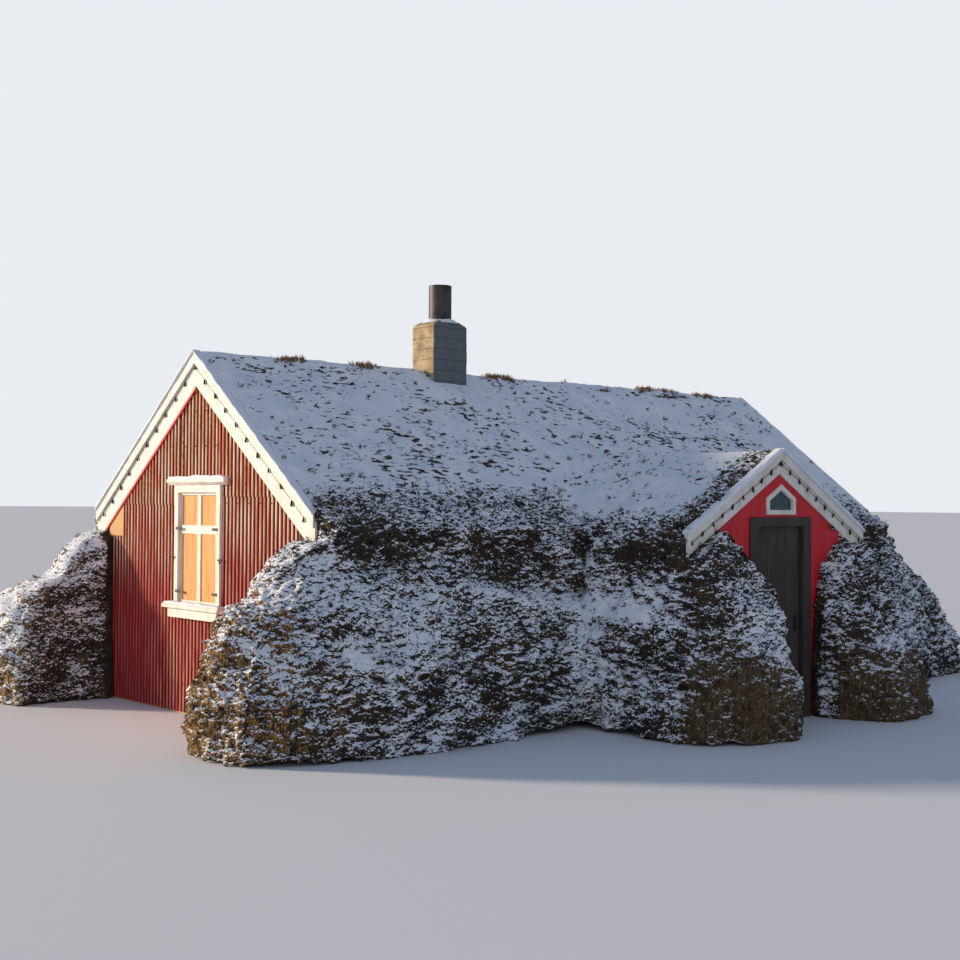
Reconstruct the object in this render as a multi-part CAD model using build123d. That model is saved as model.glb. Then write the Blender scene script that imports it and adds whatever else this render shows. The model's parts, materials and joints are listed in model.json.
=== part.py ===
"""Turf house: turf walls, turf roof, two clad timber gables and a turf-walled porch.

Millimetres. +X runs along the ridge from the west gable to the east one, +Y away from the porch,
+Z up from the ground. The origin is the middle of the west gable wall's foot.
"""

import os
from math import atan2, cos, tan, tau

from build123d import *

# Main house
RIDGE_TOP = 4200
EAVE_TOP = 2350
HALF_SPAN = 2400
GABLE_SPACING = 9820
ROOM_HALF = 2100
ROOF_BOARDS = 60
ROOF_TURF = 320
HEAD_WRAP = 150

# Gable walls, from the timber outwards
GABLE_THICK = 100
SHEET_PITCH = 76
SHEET_DEPTH = 18
SHEET_METAL = 3
SHEET_STEPS = 4
SHEET_LIFT = 20
FASCIA_THICK = 28
FASCIA_DEPTH = 410
VERGE_THICK = 28
VERGE_DEPTH = 150
TAIL_LEVEL = 2070

# Gable window. Its casing goes round the sides and the top, and the sill closes the foot.
WINDOW_Y = -57
WINDOW_WIDE = 1010
WINDOW_LOW = 1280
WINDOW_HIGH = 2650
CASING = 72
CASING_PROUD = 34
LINING = 12
STILE = 30
MULLION = 75
MID_RAIL = 100
UPPER_PANE = 345
SASH_THICK = 36
PANEL_THICK = 12
PANEL_RECESS = 14
SILL_OVER = 112
SILL_PROUD = 130
SILL_THICK = 50
APRON_OVER = 35
APRON_PROUD = 90
APRON_HIGH = 110
CORNICE_OVER = 130
CORNICE_PROUD = 70
CORNICE_HIGH = 70

# Chimney
CHIMNEY_X = 3550
CHIMNEY_WIDE = 570
CHIMNEY_DEEP = 450
CHIMNEY_TOP = 4790
MORTAR_RISE = 60
MORTAR_MARGIN = 30
PIPE_OUTER = 150
PIPE_WALL = 28
PIPE_LONG = 480

# Turf walls: how far they stand out from the rooms at three heights and at the foot
WALL_FOOT = 1380
WALL_BELLY = 1400
WALL_LEDGE = 1060
WALL_HEAD = 620
BELLY_HIGH = 550
LEDGE_HIGH = 1300
HEAD_HIGH = 1900
FLANK_REACH = 1390
FLANK_WIDE = 1540
FLANK_BLUNT = 0.9

# Porch
PORCH_X = 4900
PORCH_FRONT = -4500
PORCH_RIDGE = 3100
PORCH_EAVE = 2160
PORCH_HALF = 1650
PORCH_BOARDS = 50
PORCH_TURF = 200
PORCH_FASCIA_DEPTH = 270
PORCH_VERGE_DEPTH = 110
PORCH_WALL_THICK = 60
PORCH_WRAP = 70
PORCH_WALL_SHORT = 400
PORCH_HEAD_OUT = 110
PORCH_LEDGE_OUT = 310
PORCH_BELLY_OUT = 70
PORCH_FOOT_OUT = {"west": 490, "east": 790}
PORCH_FLANK_REACH = 900
PASSAGE_MARGIN = 5
DOOR_SHIFT = 50

# Each rounded front of the porch: how square its corner by the door is, and how far it leans back
PORCH_CORNERS = {"west": (0.86, 60), "east": (0.5, 250)}

# Rounded ends of the turf walls, as (height, share of the foot's size, how far out the back edge is)
FLANK_SHAPE = (
    (0, 1, WALL_FOOT),
    (BELLY_HIGH, 1, WALL_BELLY),
    (LEDGE_HIGH, 0.755, WALL_LEDGE),
    (HEAD_HIGH, 0.48, WALL_HEAD),
    (TAIL_LEVEL, 0.36, WALL_HEAD - 60),
)

# Rounded fronts of the porch, as (height, share of the reach, share of the lean)
PORCH_FLANK_SHAPE = (
    (0, 1, 0),
    (BELLY_HIGH, 0.98, 0),
    (LEDGE_HIGH, 0.6, 0.3),
    (1750, 0.26, 1),
    (2020, 0.12, 2),
)

# Plan of every rounded end, as (share of the width, share of the reach), after its blunt corner
CORNER_IN = 0.05
ROUND_PLAN = ((0.22, 0.97), (0.45, 1), (0.7, 0.92), (0.9, 0.66))

# Door and porch window
FRAME_HALF = 575
FRAME_TOP = 2330
LINTEL = 90
JAMB = 140
FRAME_PROUD = 20
FRAME_DEEP = 105
STOP = 15
DOOR_THICK = 45
DOOR_GAP = 7
DOOR_LIFT = 15
PIN_R = 7
PIN_FIT = 0.3
PIN_ABOVE = 14
EYE_WALL = 5
HINGE_SET = 3
HINGE_ARM = 16
HINGE_PLATE = (25, 70)
HINGE_PLATE_THICK = 6
HINGE_PLATE_BELOW = 30
STRAP_LONG = 450
STRAP_HIGH = 40
HINGE_HEIGHTS = (380, 1850)
HANDLE_LOW = 1000
HANDLE_LONG = 200
HANDLE_WIDE = 40
HANDLE_PLATE = 5
HANDLE_BOW = 40
HANDLE_R = 7
HANDLE_IN = 110
GLASS_HALF = 275
GLASS_OVER = 30
GLASS_TALL = 190
GLASS_RISE = 160
GLASS_FRAME = 55
GLASS_PROUD = 18
GLASS_SET = 20
GLASS_THICK = 6

# Strings of lights, six-sided to keep them light
CABLE_R = 5
BULB_R = 14
BULB_LONG = 46
BULB_SPACING = 280
BULB_START = 0.6
STRING_BEND = 60
STRING_SHORT = 60
STRING_DROP = 8

# Clearances
FIT = 0.3

MAIN_SLOPE = (RIDGE_TOP - EAVE_TOP) / HALF_SPAN
PORCH_SLOPE = (PORCH_RIDGE - PORCH_EAVE) / PORCH_HALF
ROOF_DEPTH = ROOF_BOARDS + ROOF_TURF
PORCH_DEPTH = PORCH_BOARDS + PORCH_TURF
WALL_OUT = -GABLE_THICK / 2
SHEET_IN = WALL_OUT - FIT
SHEET_OUT = SHEET_IN - SHEET_METAL - SHEET_DEPTH
FASCIA_IN = SHEET_OUT - FIT
FASCIA_OUT = FASCIA_IN - FASCIA_THICK
VERGE_OUT = FASCIA_OUT - VERGE_THICK
MID_X = GABLE_SPACING / 2
ROOF_EAST = GABLE_SPACING - FASCIA_IN
PORCH_FACE = PORCH_FRONT + VERGE_THICK + FASCIA_THICK
DOOR_X = PORCH_X + DOOR_SHIFT
CLEAR_HALF = FRAME_HALF - JAMB
PASSAGE_HALF = FRAME_HALF + PASSAGE_MARGIN
PORCH_WALL_HALF = PORCH_HALF - PORCH_WALL_SHORT
GLASS_LOW = FRAME_TOP + GLASS_OVER
GLASS_SHOULDER = GLASS_LOW + GLASS_TALL
GLASS_APEX = GLASS_SHOULDER + GLASS_RISE
PIPE_FOOT = CHIMNEY_TOP + MORTAR_RISE
SKY = RIDGE_TOP + CHIMNEY_TOP
FAR = 2 * GABLE_SPACING


def along_x(points, x0, x1):
    """Prism between two X planes; points are (y, z)."""
    face = Plane.YZ.offset(x0) * Polygon(*points, align=None)
    return extrude(face, x1 - x0, dir=(1, 0, 0))


def along_y(points, y0, y1):
    """Prism between two Y planes; points are (x, z)."""
    face = Plane.XZ.offset(-y0) * Polygon(*points, align=None)
    return extrude(face, y1 - y0, dir=(0, 1, 0))


def block(x, y, z):
    """Box from three (low, high) pairs."""
    size = [high - low for low, high in (x, y, z)]
    return Pos(x[0], y[0], z[0]) * Box(*size, align=(Align.MIN, Align.MIN, Align.MIN))


def main_top(y):
    return RIDGE_TOP - MAIN_SLOPE * abs(y)


def porch_top(x):
    return PORCH_RIDGE - PORCH_SLOPE * abs(x - PORCH_X)


def main_under(y):
    return main_top(y) - ROOF_DEPTH


def porch_under(x):
    return porch_top(x) - PORCH_DEPTH


def porch_board_foot(x):
    """Height that the flanks stay under: the lower edge of the porch bargeboards."""
    return porch_top(x) - PORCH_FASCIA_DEPTH


def tent(half, top, low, centre=0, ridge=None):
    """Outline under two slopes down to a level; the ridge is over the centre unless given."""
    left, right = centre - half, centre + half
    ridge = centre if ridge is None else ridge
    return [(left, low), (right, low), (right, top(right)), (ridge, top(ridge)), (left, top(left))]


def main_band(side, over, under, x0, x1):
    """One slope of the main roof between two plumb depths; side is -1 front or 1 rear."""
    edge = side * HALF_SPAN
    points = [(0, main_top(0) - over), (edge, main_top(edge) - over)]
    points += [(edge, main_top(edge) - under), (0, main_top(0) - under)]
    return along_x(points, x0, x1)


def porch_band(side, over, under, y0, y1):
    """One slope of the porch roof between two plumb depths; side is -1 west or 1 east."""
    edge = PORCH_X + side * PORCH_HALF
    points = [(PORCH_X, porch_top(PORCH_X) - over), (edge, porch_top(edge) - over)]
    points += [(edge, porch_top(edge) - under), (PORCH_X, porch_top(PORCH_X) - under)]
    return along_y(points, y0, y1)


def under_main():
    """The space under the main roof, the whole length of the house."""
    return along_x(tent(HALF_SPAN, main_under, 0), FASCIA_IN, ROOF_EAST)


def under_porch():
    """The space under the porch roof, from its front to the ridge of the house."""
    return along_y(tent(PORCH_HALF, porch_under, 0, PORCH_X), PORCH_FRONT, 0)


def over_roofs():
    """What the two roofs and the air over them take from the heads of the turf walls."""
    main = along_x(tent(HALF_SPAN, lambda y: SKY, 0), FASCIA_IN, ROOF_EAST) - under_main()
    porch = along_y(tent(PORCH_HALF, lambda x: SKY, 0, PORCH_X), PORCH_FRONT, 0) - under_porch()
    return [main - under_porch(), porch - under_main()]


def main_roof():
    """Boards and turf of both slopes, cut for the porch roof's valleys and for the chimney."""
    porch_outside = along_y(tent(PORCH_HALF, porch_top, 0, PORCH_X), PORCH_FRONT, 0)
    chimney = block(*chimney_sides(), (0, SKY))
    pieces = {}
    for name, side in (("front", -1), ("rear", 1)):
        boards = main_band(side, ROOF_TURF, ROOF_DEPTH, FASCIA_IN, ROOF_EAST)
        turf = main_band(side, 0, ROOF_TURF, FASCIA_IN, ROOF_EAST) - chimney
        if side < 0:
            boards -= porch_outside
            turf -= porch_outside
        pieces[f"main_roof_boards_{name}"] = boards
        pieces[f"main_roof_turf_{name}"] = turf
    return pieces


def porch_roof():
    """Boards and turf of both slopes, run back until they meet the main roof's boards."""
    back = -(RIDGE_TOP - ROOF_DEPTH - PORCH_RIDGE) / MAIN_SLOPE
    pieces = {}
    for name, side in (("west", -1), ("east", 1)):
        boards = porch_band(side, PORCH_TURF, PORCH_DEPTH, PORCH_FACE, back) - under_main()
        turf = porch_band(side, 0, PORCH_TURF, PORCH_FACE, back) - under_main()
        pieces[f"porch_roof_boards_{name}"] = boards
        pieces[f"porch_roof_turf_{name}"] = turf
    return pieces


def chimney_sides():
    return (
        (CHIMNEY_X - CHIMNEY_WIDE / 2, CHIMNEY_X + CHIMNEY_WIDE / 2),
        (-CHIMNEY_DEEP / 2, CHIMNEY_DEEP / 2),
    )


def chimney():
    """Concrete block saddled on the roof boards, with a sloped mortar top and a round pipe."""
    boards_top = [(y, z - ROOF_TURF) for y, z in tent(HALF_SPAN, main_top, -RIDGE_TOP)]
    stack = block(*chimney_sides(), (0, CHIMNEY_TOP)) - along_x(boards_top, 0, GABLE_SPACING)
    foot = Pos(CHIMNEY_X, 0, CHIMNEY_TOP) * Rectangle(CHIMNEY_WIDE, CHIMNEY_DEEP)
    top = 2 * (PIPE_OUTER + MORTAR_MARGIN)
    crown = Pos(CHIMNEY_X, 0, PIPE_FOOT) * Rectangle(top, top)
    mortar = loft([foot.face(), crown.face()])
    ring = Circle(PIPE_OUTER) - Circle(PIPE_OUTER - PIPE_WALL)
    pipe = Pos(CHIMNEY_X, 0, PIPE_FOOT) * extrude(ring, PIPE_LONG)
    return {"chimney_block": stack + mortar, "chimney_pipe": pipe}


def window_hole(x0, x1, inset=0):
    """Block as large as the window, less an inset at the sides and the top; the sill is under it."""
    low_y = WINDOW_Y - WINDOW_WIDE / 2 + inset
    high_y = WINDOW_Y + WINDOW_WIDE / 2 - inset
    low = WINDOW_LOW + max(inset - CASING, 0)
    return block((x0, x1), (low_y, high_y), (low, WINDOW_HIGH - inset))


def gable_wall():
    outline = tent(ROOM_HALF, main_under, 0)
    wall = along_x(outline, WALL_OUT, -WALL_OUT)
    return wall - window_hole(2 * WALL_OUT, -2 * WALL_OUT, CASING)


def corrugated_sheet():
    """Cladding: a wave as thick as the metal, run up the wall and cut to the gable."""
    mid = SHEET_IN - SHEET_METAL - SHEET_DEPTH / 2
    pitches = int(2 * ROOM_HALF / SHEET_PITCH)
    steps = pitches * SHEET_STEPS

    def wave(shift):
        points = []
        for i in range(steps + 1):
            y = (i / steps - 0.5) * pitches * SHEET_PITCH
            points.append((mid + shift + SHEET_DEPTH / 2 * cos(tau * i / SHEET_STEPS), y))
        return points

    outline = Polygon(*wave(0), *reversed(wave(SHEET_METAL)), align=None)
    sheet = extrude(Plane.XY.offset(SHEET_LIFT) * outline, RIDGE_TOP, dir=(0, 0, 1))
    sheet &= along_x(tent(ROOM_HALF, main_under, 0), 2 * FASCIA_IN, 0)
    return sheet - window_hole(2 * FASCIA_IN, 0, CASING)


def window_board(proud, over, low, high):
    """Board across the whole window, past each side by the overhang."""
    reach = WINDOW_WIDE / 2 + over
    return block((SHEET_OUT - proud, SHEET_OUT - FIT), (WINDOW_Y - reach, WINDOW_Y + reach), (low, high))


def window_casing():
    """Flat boards round the window, with a cornice, a sill and an apron under it."""
    front = SHEET_OUT - CASING_PROUD
    boards = window_hole(front, SHEET_OUT - FIT) - window_hole(2 * front, 0, CASING + LINING)
    lining = window_hole(SHEET_OUT - FIT, -WALL_OUT, CASING + FIT)
    lining -= window_hole(2 * SHEET_OUT, GABLE_THICK, CASING + LINING)
    cornice = window_board(CORNICE_PROUD, CORNICE_OVER, WINDOW_HIGH, WINDOW_HIGH + CORNICE_HIGH)
    cornice = chamfer(cornice.edges().group_by(Axis.Z)[0].group_by(Axis.X)[0], CORNICE_HIGH / 2)
    sill_foot = WINDOW_LOW - SILL_THICK
    sill = window_board(SILL_PROUD, SILL_OVER, sill_foot, WINDOW_LOW)
    sill = chamfer(sill.edges().group_by(Axis.Z)[-1].group_by(Axis.X)[0], SILL_THICK / 3)
    apron = window_board(APRON_PROUD, APRON_OVER, sill_foot - APRON_HIGH, sill_foot)
    return boards + lining + cornice + sill + apron


def window_panes():
    """The four openings of the sash as (y, z) pairs: two small panes over two tall ones."""
    inset = CASING + LINING + STILE
    low_y = WINDOW_Y - WINDOW_WIDE / 2 + inset
    high_y = WINDOW_Y + WINDOW_WIDE / 2 - inset
    low, high = WINDOW_LOW + LINING + STILE, WINDOW_HIGH - inset
    split = high - UPPER_PANE
    panes = []
    for y in ((low_y, WINDOW_Y - MULLION / 2), (WINDOW_Y + MULLION / 2, high_y)):
        panes += [(y, (low, split - MID_RAIL)), (y, (split, high))]
    return panes


def window_sash():
    sash = window_hole(SHEET_OUT, SHEET_OUT + SASH_THICK, CASING + LINING + FIT)
    for y, z in window_panes():
        sash -= block((2 * SHEET_OUT, 0), y, z)
    return sash


def window_panels():
    face = SHEET_OUT + PANEL_RECESS
    panels = [
        block((face, face + PANEL_THICK), (y[0] + FIT, y[1] - FIT), (z[0] + FIT, z[1] - FIT))
        for y, z in window_panes()
    ]
    return Compound(children=panels)


def gable_boards(depth, x_out, thick):
    """Two sloping boards that meet at the ridge, cut plumb at the ends and level at the tails."""
    boards = []
    for side in (-1, 1):
        board = main_band(side, 0, depth, x_out, x_out + thick)
        board &= block((x_out, x_out + thick), sorted((side * FIT, side * HALF_SPAN)), (TAIL_LEVEL, SKY))
        boards.append(board.solid())
    return Compound(children=boards)


def light_string(plane, half, slope):
    """Cable and bulbs along both boards of a gable. The plane's origin is the apex of the run."""
    start, apex, end = (-half, -half * slope), (0, 0), (half, -half * slope)
    route = plane * FilletPolyline(start, apex, end, radius=STRING_BEND)
    string = sweep(Plane(route @ 0, z_dir=route % 0) * RegularPolygon(CABLE_R, 6), path=route)
    bulb = Rot(90, 0, 0) * extrude(RegularPolygon(BULB_R, 6, major_radius=False), BULB_LONG)
    count = int(half // BULB_SPACING)
    for side in (-1, 1):
        for i in range(count):
            across = side * (i + BULB_START) * half / count
            string += plane * Pos(across, -abs(across) * slope, 0) * bulb
    return string


def wall_section(foot, belly, ledge, head, head_top, seat):
    """Turf wall section: plumb inside, a bellied and battered outside; (distance out, height).

    Within the seat's width the wall runs up into the roof, and is cut to it afterwards.
    """
    low = ThreePointArc((foot, 0), (belly, BELLY_HIGH), (ledge, LEDGE_HIGH))
    batter = [(ledge, LEDGE_HIGH), (head, HEAD_HIGH), (head, head_top)]
    inside = [(seat, head_top), (seat, RIDGE_TOP), (0, RIDGE_TOP), (0, 0), (foot, 0)]
    return make_face(low + Polyline(*batter, *inside)).face()


def dome(sections, blunt, out):
    """Rounded end of a turf wall, ruled through rounded sections.

    Each section is (height, reach, near, far): how far it reaches out, and the two ends of its
    straight back. Blunt is how much of the reach the near corner has. out maps (reach, across,
    height) to a point.
    """
    plan = [(0, 0), (CORNER_IN, blunt), *ROUND_PLAN, (1, 0)]
    faces = []
    for z, reach, near, far in sections:
        points = [out(part * reach, near + across * (far - near), z) for across, part in plan]
        faces.append(make_face(Polyline(*points, close=True)).face())
    return loft(faces, ruled=True)


def passage_face(side):
    """X of the turf's inner face on one side of the porch passage."""
    return DOOR_X + side * PASSAGE_HALF


def porch_turf_sizes(name, side):
    """How far a porch wall's foot, belly, ledge, head and roof seat stand out from the passage."""
    seat = abs(PORCH_X + side * PORCH_HALF - passage_face(side))
    foot, ledge = seat + PORCH_FOOT_OUT[name], seat + PORCH_LEDGE_OUT
    return foot, (foot + ledge) / 2 + PORCH_BELLY_OUT, ledge, seat + PORCH_HEAD_OUT, seat


def turf_walls():
    """Front walls either side of the porch, the rear wall, and the porch's own two walls."""
    head_top = main_top(HALF_SPAN) - HEAD_WRAP
    seat = HALF_SPAN - ROOM_HALF
    face = wall_section(WALL_FOOT, WALL_BELLY, WALL_LEDGE, WALL_HEAD, head_top, seat)
    section = Plane((FASCIA_IN, ROOM_HALF, 0), x_dir=(0, 1, 0), z_dir=(1, 0, 0)) * face
    rear = extrude(section, ROOF_EAST - FASCIA_IN, dir=(1, 0, 0))
    front = mirror(rear, about=Plane.XZ)
    above_main, above_porch = over_roofs()
    rear -= above_main
    front = front - above_main - above_porch
    front -= block((passage_face(-1), passage_face(1)), (-FAR, 0), (0, SKY))
    pieces = {"rear_turf_wall": rear}
    for name, side in (("west", -1), ("east", 1)):
        foot, belly, ledge, head, seat = porch_turf_sizes(name, side)
        inner = (passage_face(side), -ROOM_HALF)
        mitre_end = (inner[0] + side * FAR * foot / WALL_FOOT, inner[1] - FAR)
        porch_side = Polygon(inner, mitre_end, (inner[0], inner[1] - FAR), align=None)
        porch_zone = extrude(porch_side, SKY, dir=(0, 0, 1))
        half = block(sorted((DOOR_X, DOOR_X + side * FAR)), (-FAR, 0), (0, SKY))
        pieces[f"front_turf_wall_{name}"] = (front & half) - porch_zone
        face = wall_section(foot, belly, ledge, head, PORCH_EAVE - PORCH_WRAP, seat)
        wall = porch_turf_wall(side, face) & porch_zone
        pieces[f"porch_turf_wall_{name}"] = wall - above_main - above_porch
    return pieces


def porch_turf_wall(side, face):
    """One side wall of the porch before the roofs and the mitre with the front wall cut it."""
    plane = Plane((passage_face(side), -ROOM_HALF, 0), x_dir=(side, 0, 0), z_dir=(0, -side, 0))
    wall = extrude(plane * face, -ROOM_HALF - PORCH_FACE, dir=(0, -1, 0))
    return wall - porch_timber(side)


def porch_timber(side):
    """Board wall beside the door, from the ground to the porch roof."""
    near = DOOR_X + side * FRAME_HALF
    far = PORCH_X + side * PORCH_WALL_HALF
    points = [(near, 0), (far, 0), (far, porch_under(far)), (near, porch_under(near))]
    return along_y(points, PORCH_FACE, PORCH_FACE + PORCH_WALL_THICK)


def main_flanks():
    """Rounded ends of the long walls, standing out past both gables."""
    sections = []
    for z, share, back_out in FLANK_SHAPE:
        far = ROOM_HALF + back_out
        sections.append((z, share * FLANK_REACH, far - share * FLANK_WIDE, far))
    front = dome(sections, FLANK_BLUNT, lambda reach, across, z: (FASCIA_IN - reach, -across, z))
    rear = mirror(front, about=Plane.XZ)
    east = Plane.YZ.offset(MID_X)
    return {
        "front_flank_west": front,
        "rear_flank_west": rear,
        "front_flank_east": mirror(front, about=east),
        "rear_flank_east": mirror(rear, about=east),
    }


def porch_flanks():
    """Rounded fronts of the porch walls, either side of the door."""
    over_boards = along_y(tent(PORCH_HALF, lambda x: SKY, 0, PORCH_X), PORCH_FRONT, PORCH_FACE)
    over_boards -= along_y(tent(PORCH_HALF, porch_board_foot, 0, PORCH_X), PORCH_FRONT, PORCH_FACE)
    pieces = {}
    for name, side in (("west", -1), ("east", 1)):
        blunt, lean = PORCH_CORNERS[name]
        foot, belly, ledge, head, _ = porch_turf_sizes(name, side)
        sections = [
            (z, share * PORCH_FLANK_REACH, lean_share * lean, far)
            for (z, share, lean_share), far in zip(PORCH_FLANK_SHAPE, (foot, belly, ledge, head, head))
        ]

        def out(reach, across, z, side=side):
            return (passage_face(side) + side * across, PORCH_FACE - reach, z)

        pieces[f"porch_flank_{name}"] = dome(sections, blunt, out) - over_boards
    return pieces


def porch_timber_walls():
    over = along_y(
        tent(FRAME_HALF, porch_under, FRAME_TOP, DOOR_X, PORCH_X),
        PORCH_FACE,
        PORCH_FACE + PORCH_WALL_THICK,
    )
    over -= along_y(porch_window_outline(0), 2 * PORCH_FRONT, 0)
    return {
        "porch_wall_west": porch_timber(-1),
        "porch_wall_east": porch_timber(1),
        "porch_wall_over_door": over,
    }


def porch_window_outline(inset):
    """Five-sided outline, set in by the same width on every side."""
    half = GLASS_HALF - inset
    pitch = atan2(GLASS_APEX - GLASS_SHOULDER, GLASS_HALF)
    drop = inset / cos(pitch)
    shoulder = GLASS_SHOULDER - drop + inset * tan(pitch)
    points = [(-half, GLASS_LOW + inset), (half, GLASS_LOW + inset), (half, shoulder)]
    points += [(0, GLASS_APEX - drop), (-half, shoulder)]
    return [(DOOR_X + x, z) for x, z in points]


def porch_window():
    frame = along_y(porch_window_outline(FIT), PORCH_FACE - GLASS_PROUD, PORCH_FACE + PORCH_WALL_THICK)
    frame -= along_y(porch_window_outline(GLASS_FRAME), 2 * PORCH_FRONT, 0)
    pane = PORCH_FACE + GLASS_SET
    glass = along_y(porch_window_outline(GLASS_FRAME + FIT), pane, pane + GLASS_THICK)
    return {"porch_window_frame": frame, "porch_window_glass": glass}


def porch_boards(depth, y_out, thick):
    """Two sloping boards that meet at the porch's ridge, cut plumb at both ends."""
    boards = []
    for side in (-1, 1):
        board = porch_band(side, 0, depth, y_out, y_out + thick)
        ends = sorted((PORCH_X + side * FIT, PORCH_X + side * PORCH_HALF))
        boards.append((board & block(ends, (y_out, y_out + thick), (0, SKY))).solid())
    return Compound(children=boards)


def doorway(half, head, y0, y1):
    return block((DOOR_X - half, DOOR_X + half), (y0, y1), (0, head))


def door_frame():
    """Two jambs and a lintel, with a stop in front of the leaf."""
    front = PORCH_FACE - FRAME_PROUD
    back = front + FRAME_DEEP
    head = FRAME_TOP - LINTEL
    frame = doorway(FRAME_HALF, FRAME_TOP, front, back) - doorway(CLEAR_HALF, head, front, back)
    stop_back = back - DOOR_THICK - DOOR_GAP
    stop = doorway(CLEAR_HALF, head, front, stop_back)
    stop -= doorway(CLEAR_HALF - STOP, head - STOP, front, stop_back)
    return frame + stop


def leaf_back():
    return PORCH_FACE - FRAME_PROUD + FRAME_DEEP


def hinge_axis():
    return DOOR_X - CLEAR_HALF + HINGE_SET, leaf_back() + PIN_R + PIN_FIT + EYE_WALL


def door():
    """Plank leaf that swings inwards."""
    x = (DOOR_X - CLEAR_HALF + HINGE_SET + DOOR_GAP, DOOR_X + CLEAR_HALF - DOOR_GAP)
    z = (DOOR_LIFT, FRAME_TOP - LINTEL - DOOR_GAP)
    return block(x, (leaf_back() - DOOR_THICK, leaf_back()), z)


def door_straps():
    """Iron bands on the back of the leaf, each ending in an eye round its pin."""
    axis_x, axis_y = hinge_axis()
    outer = PIN_R + PIN_FIT + EYE_WALL
    straps = []
    for z in HINGE_HEIGHTS:
        band_y = (leaf_back(), leaf_back() + EYE_WALL)
        band = block((axis_x, axis_x + STRAP_LONG), band_y, (z, z + STRAP_HIGH))
        eye = Pos(axis_x, axis_y, z) * extrude(Circle(outer), STRAP_HIGH)
        bore = Pos(axis_x, axis_y, z) * extrude(Circle(PIN_R + PIN_FIT), STRAP_HIGH)
        straps.append((band + eye - bore).solid())
    return Compound(children=straps)


def hinge_pins():
    """Pins on the jamb that carry the bands."""
    axis_x, axis_y = hinge_axis()
    plate_near, plate_far = (axis_x - reach for reach in HINGE_PLATE)
    back = leaf_back()
    pins = []
    for z in HINGE_HEIGHTS:
        top = z - PIN_FIT
        low = top - HINGE_ARM
        plate_z = (low - HINGE_PLATE_BELOW, z + STRAP_HIGH)
        plate = block((plate_far, plate_near), (back, back + HINGE_PLATE_THICK), plate_z)
        arm = block((plate_far, axis_x), (back, axis_y + PIN_R), (low, top))
        pin = Pos(axis_x, axis_y, low) * extrude(Circle(PIN_R), HINGE_ARM + STRAP_HIGH + PIN_ABOVE)
        pins.append((plate + arm + pin).solid())
    return Compound(children=pins)


def door_handle():
    """Iron pull: a back plate and a bowed grip."""
    face = leaf_back() - DOOR_THICK
    centre = DOOR_X + CLEAR_HALF - HANDLE_IN
    plate_x = (centre - HANDLE_WIDE / 2, centre + HANDLE_WIDE / 2)
    plate = block(plate_x, (face - HANDLE_PLATE, face), (HANDLE_LOW, HANDLE_LOW + HANDLE_LONG))
    root, bow = face - HANDLE_PLATE, face - HANDLE_PLATE - HANDLE_BOW
    low, high = HANDLE_LOW + HANDLE_WIDE, HANDLE_LOW + HANDLE_LONG - HANDLE_WIDE
    corners = [(centre, root, low), (centre, bow, low), (centre, bow, high), (centre, root, high)]
    path = FilletPolyline(*corners, radius=HANDLE_BOW / 2)
    grip = sweep(Plane(path @ 0, z_dir=path % 0) * RegularPolygon(HANDLE_R, 6), path=path)
    return plate + grip


def west_gable():
    return {
        "gable_wall": gable_wall(),
        "gable_cladding": corrugated_sheet(),
        "window_casing": window_casing(),
        "window_sash": window_sash(),
        "window_panels": window_panels(),
        "bargeboards": gable_boards(FASCIA_DEPTH, FASCIA_OUT, FASCIA_THICK),
        "verge_boards": gable_boards(VERGE_DEPTH, VERGE_OUT, VERGE_THICK),
    }


def lights():
    """Strings hung on the bargeboards, just under the verge boards."""
    off_board = BULB_R + FIT
    west_apex = (FASCIA_OUT - off_board, 0, RIDGE_TOP - VERGE_DEPTH - CABLE_R - STRING_DROP)
    west = Plane(west_apex, x_dir=(0, 1, 0), z_dir=(1, 0, 0))
    porch_z = PORCH_RIDGE - PORCH_VERGE_DEPTH - CABLE_R - STRING_DROP
    porch_apex = (PORCH_X, PORCH_FRONT + VERGE_THICK - off_board, porch_z)
    porch = Plane(porch_apex, x_dir=(1, 0, 0), z_dir=(0, -1, 0))
    return {
        "west_light_string": light_string(west, HALF_SPAN - STRING_SHORT, MAIN_SLOPE),
        "porch_light_string": light_string(porch, PORCH_HALF - STRING_SHORT, PORCH_SLOPE),
    }


def house():
    pieces = {}
    for name, shape in west_gable().items():
        pieces[f"west_{name}"] = shape
        pieces[f"east_{name}"] = mirror(shape, about=Plane.YZ.offset(MID_X))
    pieces |= main_roof() | chimney() | turf_walls() | main_flanks()
    pieces |= porch_roof() | porch_flanks() | porch_timber_walls() | porch_window() | lights()
    fascia_y = PORCH_FRONT + VERGE_THICK
    pieces["porch_bargeboards"] = porch_boards(PORCH_FASCIA_DEPTH, fascia_y, FASCIA_THICK)
    pieces["porch_verge_boards"] = porch_boards(PORCH_VERGE_DEPTH, PORCH_FRONT, VERGE_THICK)
    pieces["door_frame"] = door_frame()
    pieces["door"] = door()
    pieces["door_straps"] = door_straps()
    pieces["door_hinge_pins"] = hinge_pins()
    pieces["door_handle"] = door_handle()
    return pieces


os.makedirs("parts", exist_ok=True)
for node, shape in house().items():
    export_step(shape, f"parts/{node}.step")
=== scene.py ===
"""Finishes, turf, snow and small fittings of the turf house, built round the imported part.

Metres, in the part's own frame: +X along the ridge to the east, +Y away from the porch, +Z up.
"""

import json
import math
import random

import bmesh
import bpy
from mathutils import Matrix, Vector, noise


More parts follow.
